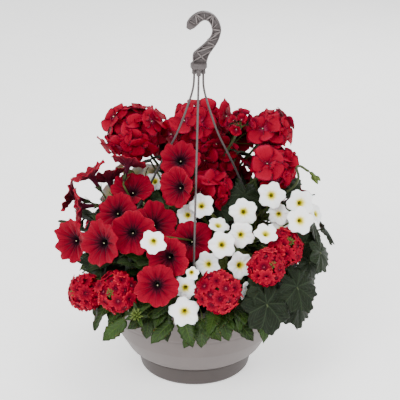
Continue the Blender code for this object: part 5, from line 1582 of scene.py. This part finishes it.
def make_foliage():
    """Stems, leaves and hearts of the seven plants."""
    room = flower_room()
    make_geranium_leaves(room)
    for owner in SMALL_LEAVES:
        kind = owner.split("_")[0]
        shape = Shape()
        draw = random.Random(owner)
        heart = Vector(HEARTS[owner][0])
        if owner == "verbena_foliage_front":
            for base, tip, across, heading, pitch in HANGING_LEAVES:
                base = Vector(base)
                reach = Vector(tip) - base
                at = placed(base - reach.normalized() * 0.8, facing(heading, pitch), reach)
                blade(shape, at, reach.length, across, BLADES["verbena"], draw,
                      "verbena_leaf", "verbena_leaf_back")
                over = base * 0.96 + Vector((0, 0, 12.0))
                tube(shape, smooth_route((heart, over, base), 14), *STEMS["hanging_leaf"], "soft_stem")
                room.take([(base + reach * t, 8.0) for t in (0.2, 0.5, 0.8)])
            make_tuft(shape, room, heart)
        for route in stem_routes(owner):
            tube(shape, route, *STEMS["flower"], "soft_stem")
        leafy(shape, room, owner)
        heart_lump(shape, owner, kind + "_leaf")
        shape.made(kind + "_leaves_" + owner.split("_")[-1], kind + "_green", owner)


# Stage


def make_stage():
    """White paper floor under the saucer, large soft lamps and the camera at the photo's angle."""
    settings = bpy.context.scene.basket_stage
    floor = bpy.data.meshes.new("paper_floor")
    z = world((0, 0, -FLOOR_DROP)).z
    far = FLOOR_REACH
    corners = [(-far, -far, z), (far, -far, z), (far, far, z), (-far, far, z)]
    floor.from_pydata(corners, [], [(0, 1, 2, 3)])
    floor.materials.append(finish_named("studio_paper"))
    ground = bpy.data.objects.new("paper_floor", floor)
    bpy.context.scene.collection.objects.link(ground)
    sky = bpy.data.worlds.new("studio")
    sky.use_nodes = True
    background = sky.node_tree.nodes["Background"]
    background.inputs["Color"].default_value = paint("fdfdfd")
    background.inputs["Strength"].default_value = settings.sky
    bpy.context.scene.world = sky
    for name, place, size, share in LAMPS:
        lamp = bpy.data.lights.new(name, "AREA")
        lamp.shape = "DISK"
        lamp.size = size
        lamp.energy = settings.key * share
        holder = bpy.data.objects.new(name, lamp)
        holder.location = place
        aim = Vector(LAMP_AIM) - Vector(place)
        holder.rotation_euler = aim.to_track_quat("-Z", "Y").to_euler()
        bpy.context.scene.collection.objects.link(holder)
    lens = bpy.data.cameras.new("camera")
    lens.lens = settings.lens
    lens.sensor_width = SENSOR_WIDTH
    camera = bpy.data.objects.new("camera", lens)
    camera.location = CAMERA_PLACE
    aim = Vector(CAMERA_AIM) - camera.location
    camera.rotation_euler = aim.to_track_quat("-Z", "Y").to_euler()
    bpy.context.scene.collection.objects.link(camera)
    bpy.context.scene.camera = camera


# Settings, operators and panel


def colour_of(name, words, code):
    """Colour setting with its default as an sRGB hex value."""
    return FloatVectorProperty(
        name=name, description=words, subtype="COLOR", size=4, default=paint(code), min=0.0, max=1.0)


class BasketColours(bpy.types.PropertyGroup):
    """Colours of the plastics and of the petals"""

    bowl: colour_of("Bowl", "Colour of the bowl's plastic", "675e5c")
    saucer: colour_of("Saucer", "Colour of the saucer's plastic", "443c3a")
    hanger: colour_of("Hanger", "Colour of the hook's, strands' and clips' plastic", "534c4c")
    # The ribs' colour is a painted highlight, paler than the hanger's plastic.
    rib: colour_of("Ribs", "Colour of the hook's rubbed ribs", "726a69")
    petunia: colour_of("Petunia", "Colour of the petunias' lips", "80021e")
    calibrachoa: colour_of("Calibrachoa", "Colour of the calibrachoas' lips", "ffffff")
    verbena: colour_of("Verbena", "Colour of the verbenas' petals", "8a0522")
    geranium: colour_of("Geranium", "Colour of the geraniums' petals", "86031f")


class BasketSizes(bpy.types.PropertyGroup):
    """Sizes that the dressed pieces add to those of the frame"""

    strand: FloatProperty(
        name="Strand", description="Thickness of a hanger strand", default=0.003, min=0.001,
        unit="LENGTH")
    verbena_floret: FloatProperty(
        name="Verbena floret", description="Middling width of a verbena floret", default=0.025,
        min=0.01, unit="LENGTH")
    geranium_floret: FloatProperty(
        name="Geranium floret", description="Middling width of a geranium floret", default=0.0425,
        min=0.01, unit="LENGTH")
    mouth: FloatProperty(
        name="Trumpet spread", description="Width of the trumpets in shares of that in the frame",
        default=1.08, min=0.5, max=1.2, subtype="FACTOR")


class BasketStage(bpy.types.PropertyGroup):
    """Lens of the camera and strength of the light"""

    lens: FloatProperty(
        name="Lens", description="Focal length of the camera", default=108.8, min=20.0, unit="CAMERA")
    key: FloatProperty(
        name="Key light", description="Power of the main soft lamp", default=42.0, min=0.0, unit="POWER")
    sky: FloatProperty(
        name="Room light", description="Strength of the light from all round", default=0.9, min=0.0,
        subtype="FACTOR")


class BASKET_OT_stage(bpy.types.Operator):
    """Lay the paper floor and set the lamps and the camera"""

    bl_idname = "basket.stage"
    bl_label = "Stage"

    def execute(self, context):
        make_stage()
        return {"FINISHED"}


class BASKET_OT_bowl(bpy.types.Operator):
    """Turn the moulded bowl and its clip-on saucer"""

    bl_idname = "basket.bowl"
    bl_label = "Bowl and saucer"

    def execute(self, context):
        make_bowl()
        return {"FINISHED"}


class BASKET_OT_soil(bpy.types.Operator):
    """Fill the bowl with potting peat"""

    bl_idname = "basket.soil"
    bl_label = "Soil"

    def execute(self, context):
        make_soil()
        return {"FINISHED"}


class BASKET_OT_hook(bpy.types.Operator):
    """Make the ribbed crook with its collar and sockets"""

    bl_idname = "basket.hook"
    bl_label = "Hook"

    def execute(self, context):
        make_hook()
        return {"FINISHED"}


class BASKET_OT_strands(bpy.types.Operator):
    """Run the three strands to their clips on the rim"""

    bl_idname = "basket.strands"
    bl_label = "Strands"

    def execute(self, context):
        make_strands()
        return {"FINISHED"}


class BASKET_OT_petunias(bpy.types.Operator):
    """Open the red petunias on their stalks"""

    bl_idname = "basket.petunias"
    bl_label = "Petunias"

    def execute(self, context):
        make_sprays("petunia")
        return {"FINISHED"}


class BASKET_OT_calibrachoas(bpy.types.Operator):
    """Open the small white calibrachoas on their stalks"""

    bl_idname = "basket.calibrachoas"
    bl_label = "Calibrachoas"

    def execute(self, context):
        make_sprays("calibrachoa")
        return {"FINISHED"}


class BASKET_OT_verbenas(bpy.types.Operator):
    """Set the notched florets of the verbena heads"""

    bl_idname = "basket.verbenas"
    bl_label = "Verbenas"

    def execute(self, context):
        make_verbena_heads()
        return {"FINISHED"}


class BASKET_OT_geraniums(bpy.types.Operator):
    """Set the broad florets of the geranium heads"""

    bl_idname = "basket.geraniums"
    bl_label = "Geraniums"

    def execute(self, context):
        make_geranium_heads()
        return {"FINISHED"}


class BASKET_OT_foliage(bpy.types.Operator):
    """Grow the stems, leaves and buds of all the plants"""

    bl_idname = "basket.foliage"
    bl_label = "Foliage"

    def execute(self, context):
        make_foliage()
        return {"FINISHED"}


OPERATORS = (BASKET_OT_stage, BASKET_OT_bowl, BASKET_OT_soil, BASKET_OT_hook, BASKET_OT_strands,
             BASKET_OT_petunias, BASKET_OT_calibrachoas, BASKET_OT_verbenas, BASKET_OT_geraniums,
             BASKET_OT_foliage)


class BASKET_PT_pieces(bpy.types.Panel):
    """A button for each group of pieces"""

    bl_label = "Basket"
    bl_space_type = "VIEW_3D"
    bl_region_type = "UI"
    bl_category = "Basket"

    def draw(self, context):
        for operator in OPERATORS:
            self.layout.operator(operator.bl_idname)


CLASSES = (BasketColours, BasketSizes, BasketStage, *OPERATORS, BASKET_PT_pieces)


def register():
    """Add the classes and the three groups of settings."""
    for one in CLASSES:
        bpy.utils.register_class(one)
    bpy.types.Scene.basket_colours = PointerProperty(type=BasketColours)
    bpy.types.Scene.basket_sizes = PointerProperty(type=BasketSizes)
    bpy.types.Scene.basket_stage = PointerProperty(type=BasketStage)


def unregister():
    """Take the settings and the classes away again."""
    del bpy.types.Scene.basket_stage
    del bpy.types.Scene.basket_sizes
    del bpy.types.Scene.basket_colours
    for one in reversed(CLASSES):
        bpy.utils.unregister_class(one)


def main():
    """Make all the pieces in order."""
    register()
    for operator in OPERATORS:
        getattr(bpy.ops.basket, operator.bl_idname.split(".")[1])()


if __name__ == "__main__":
    main()
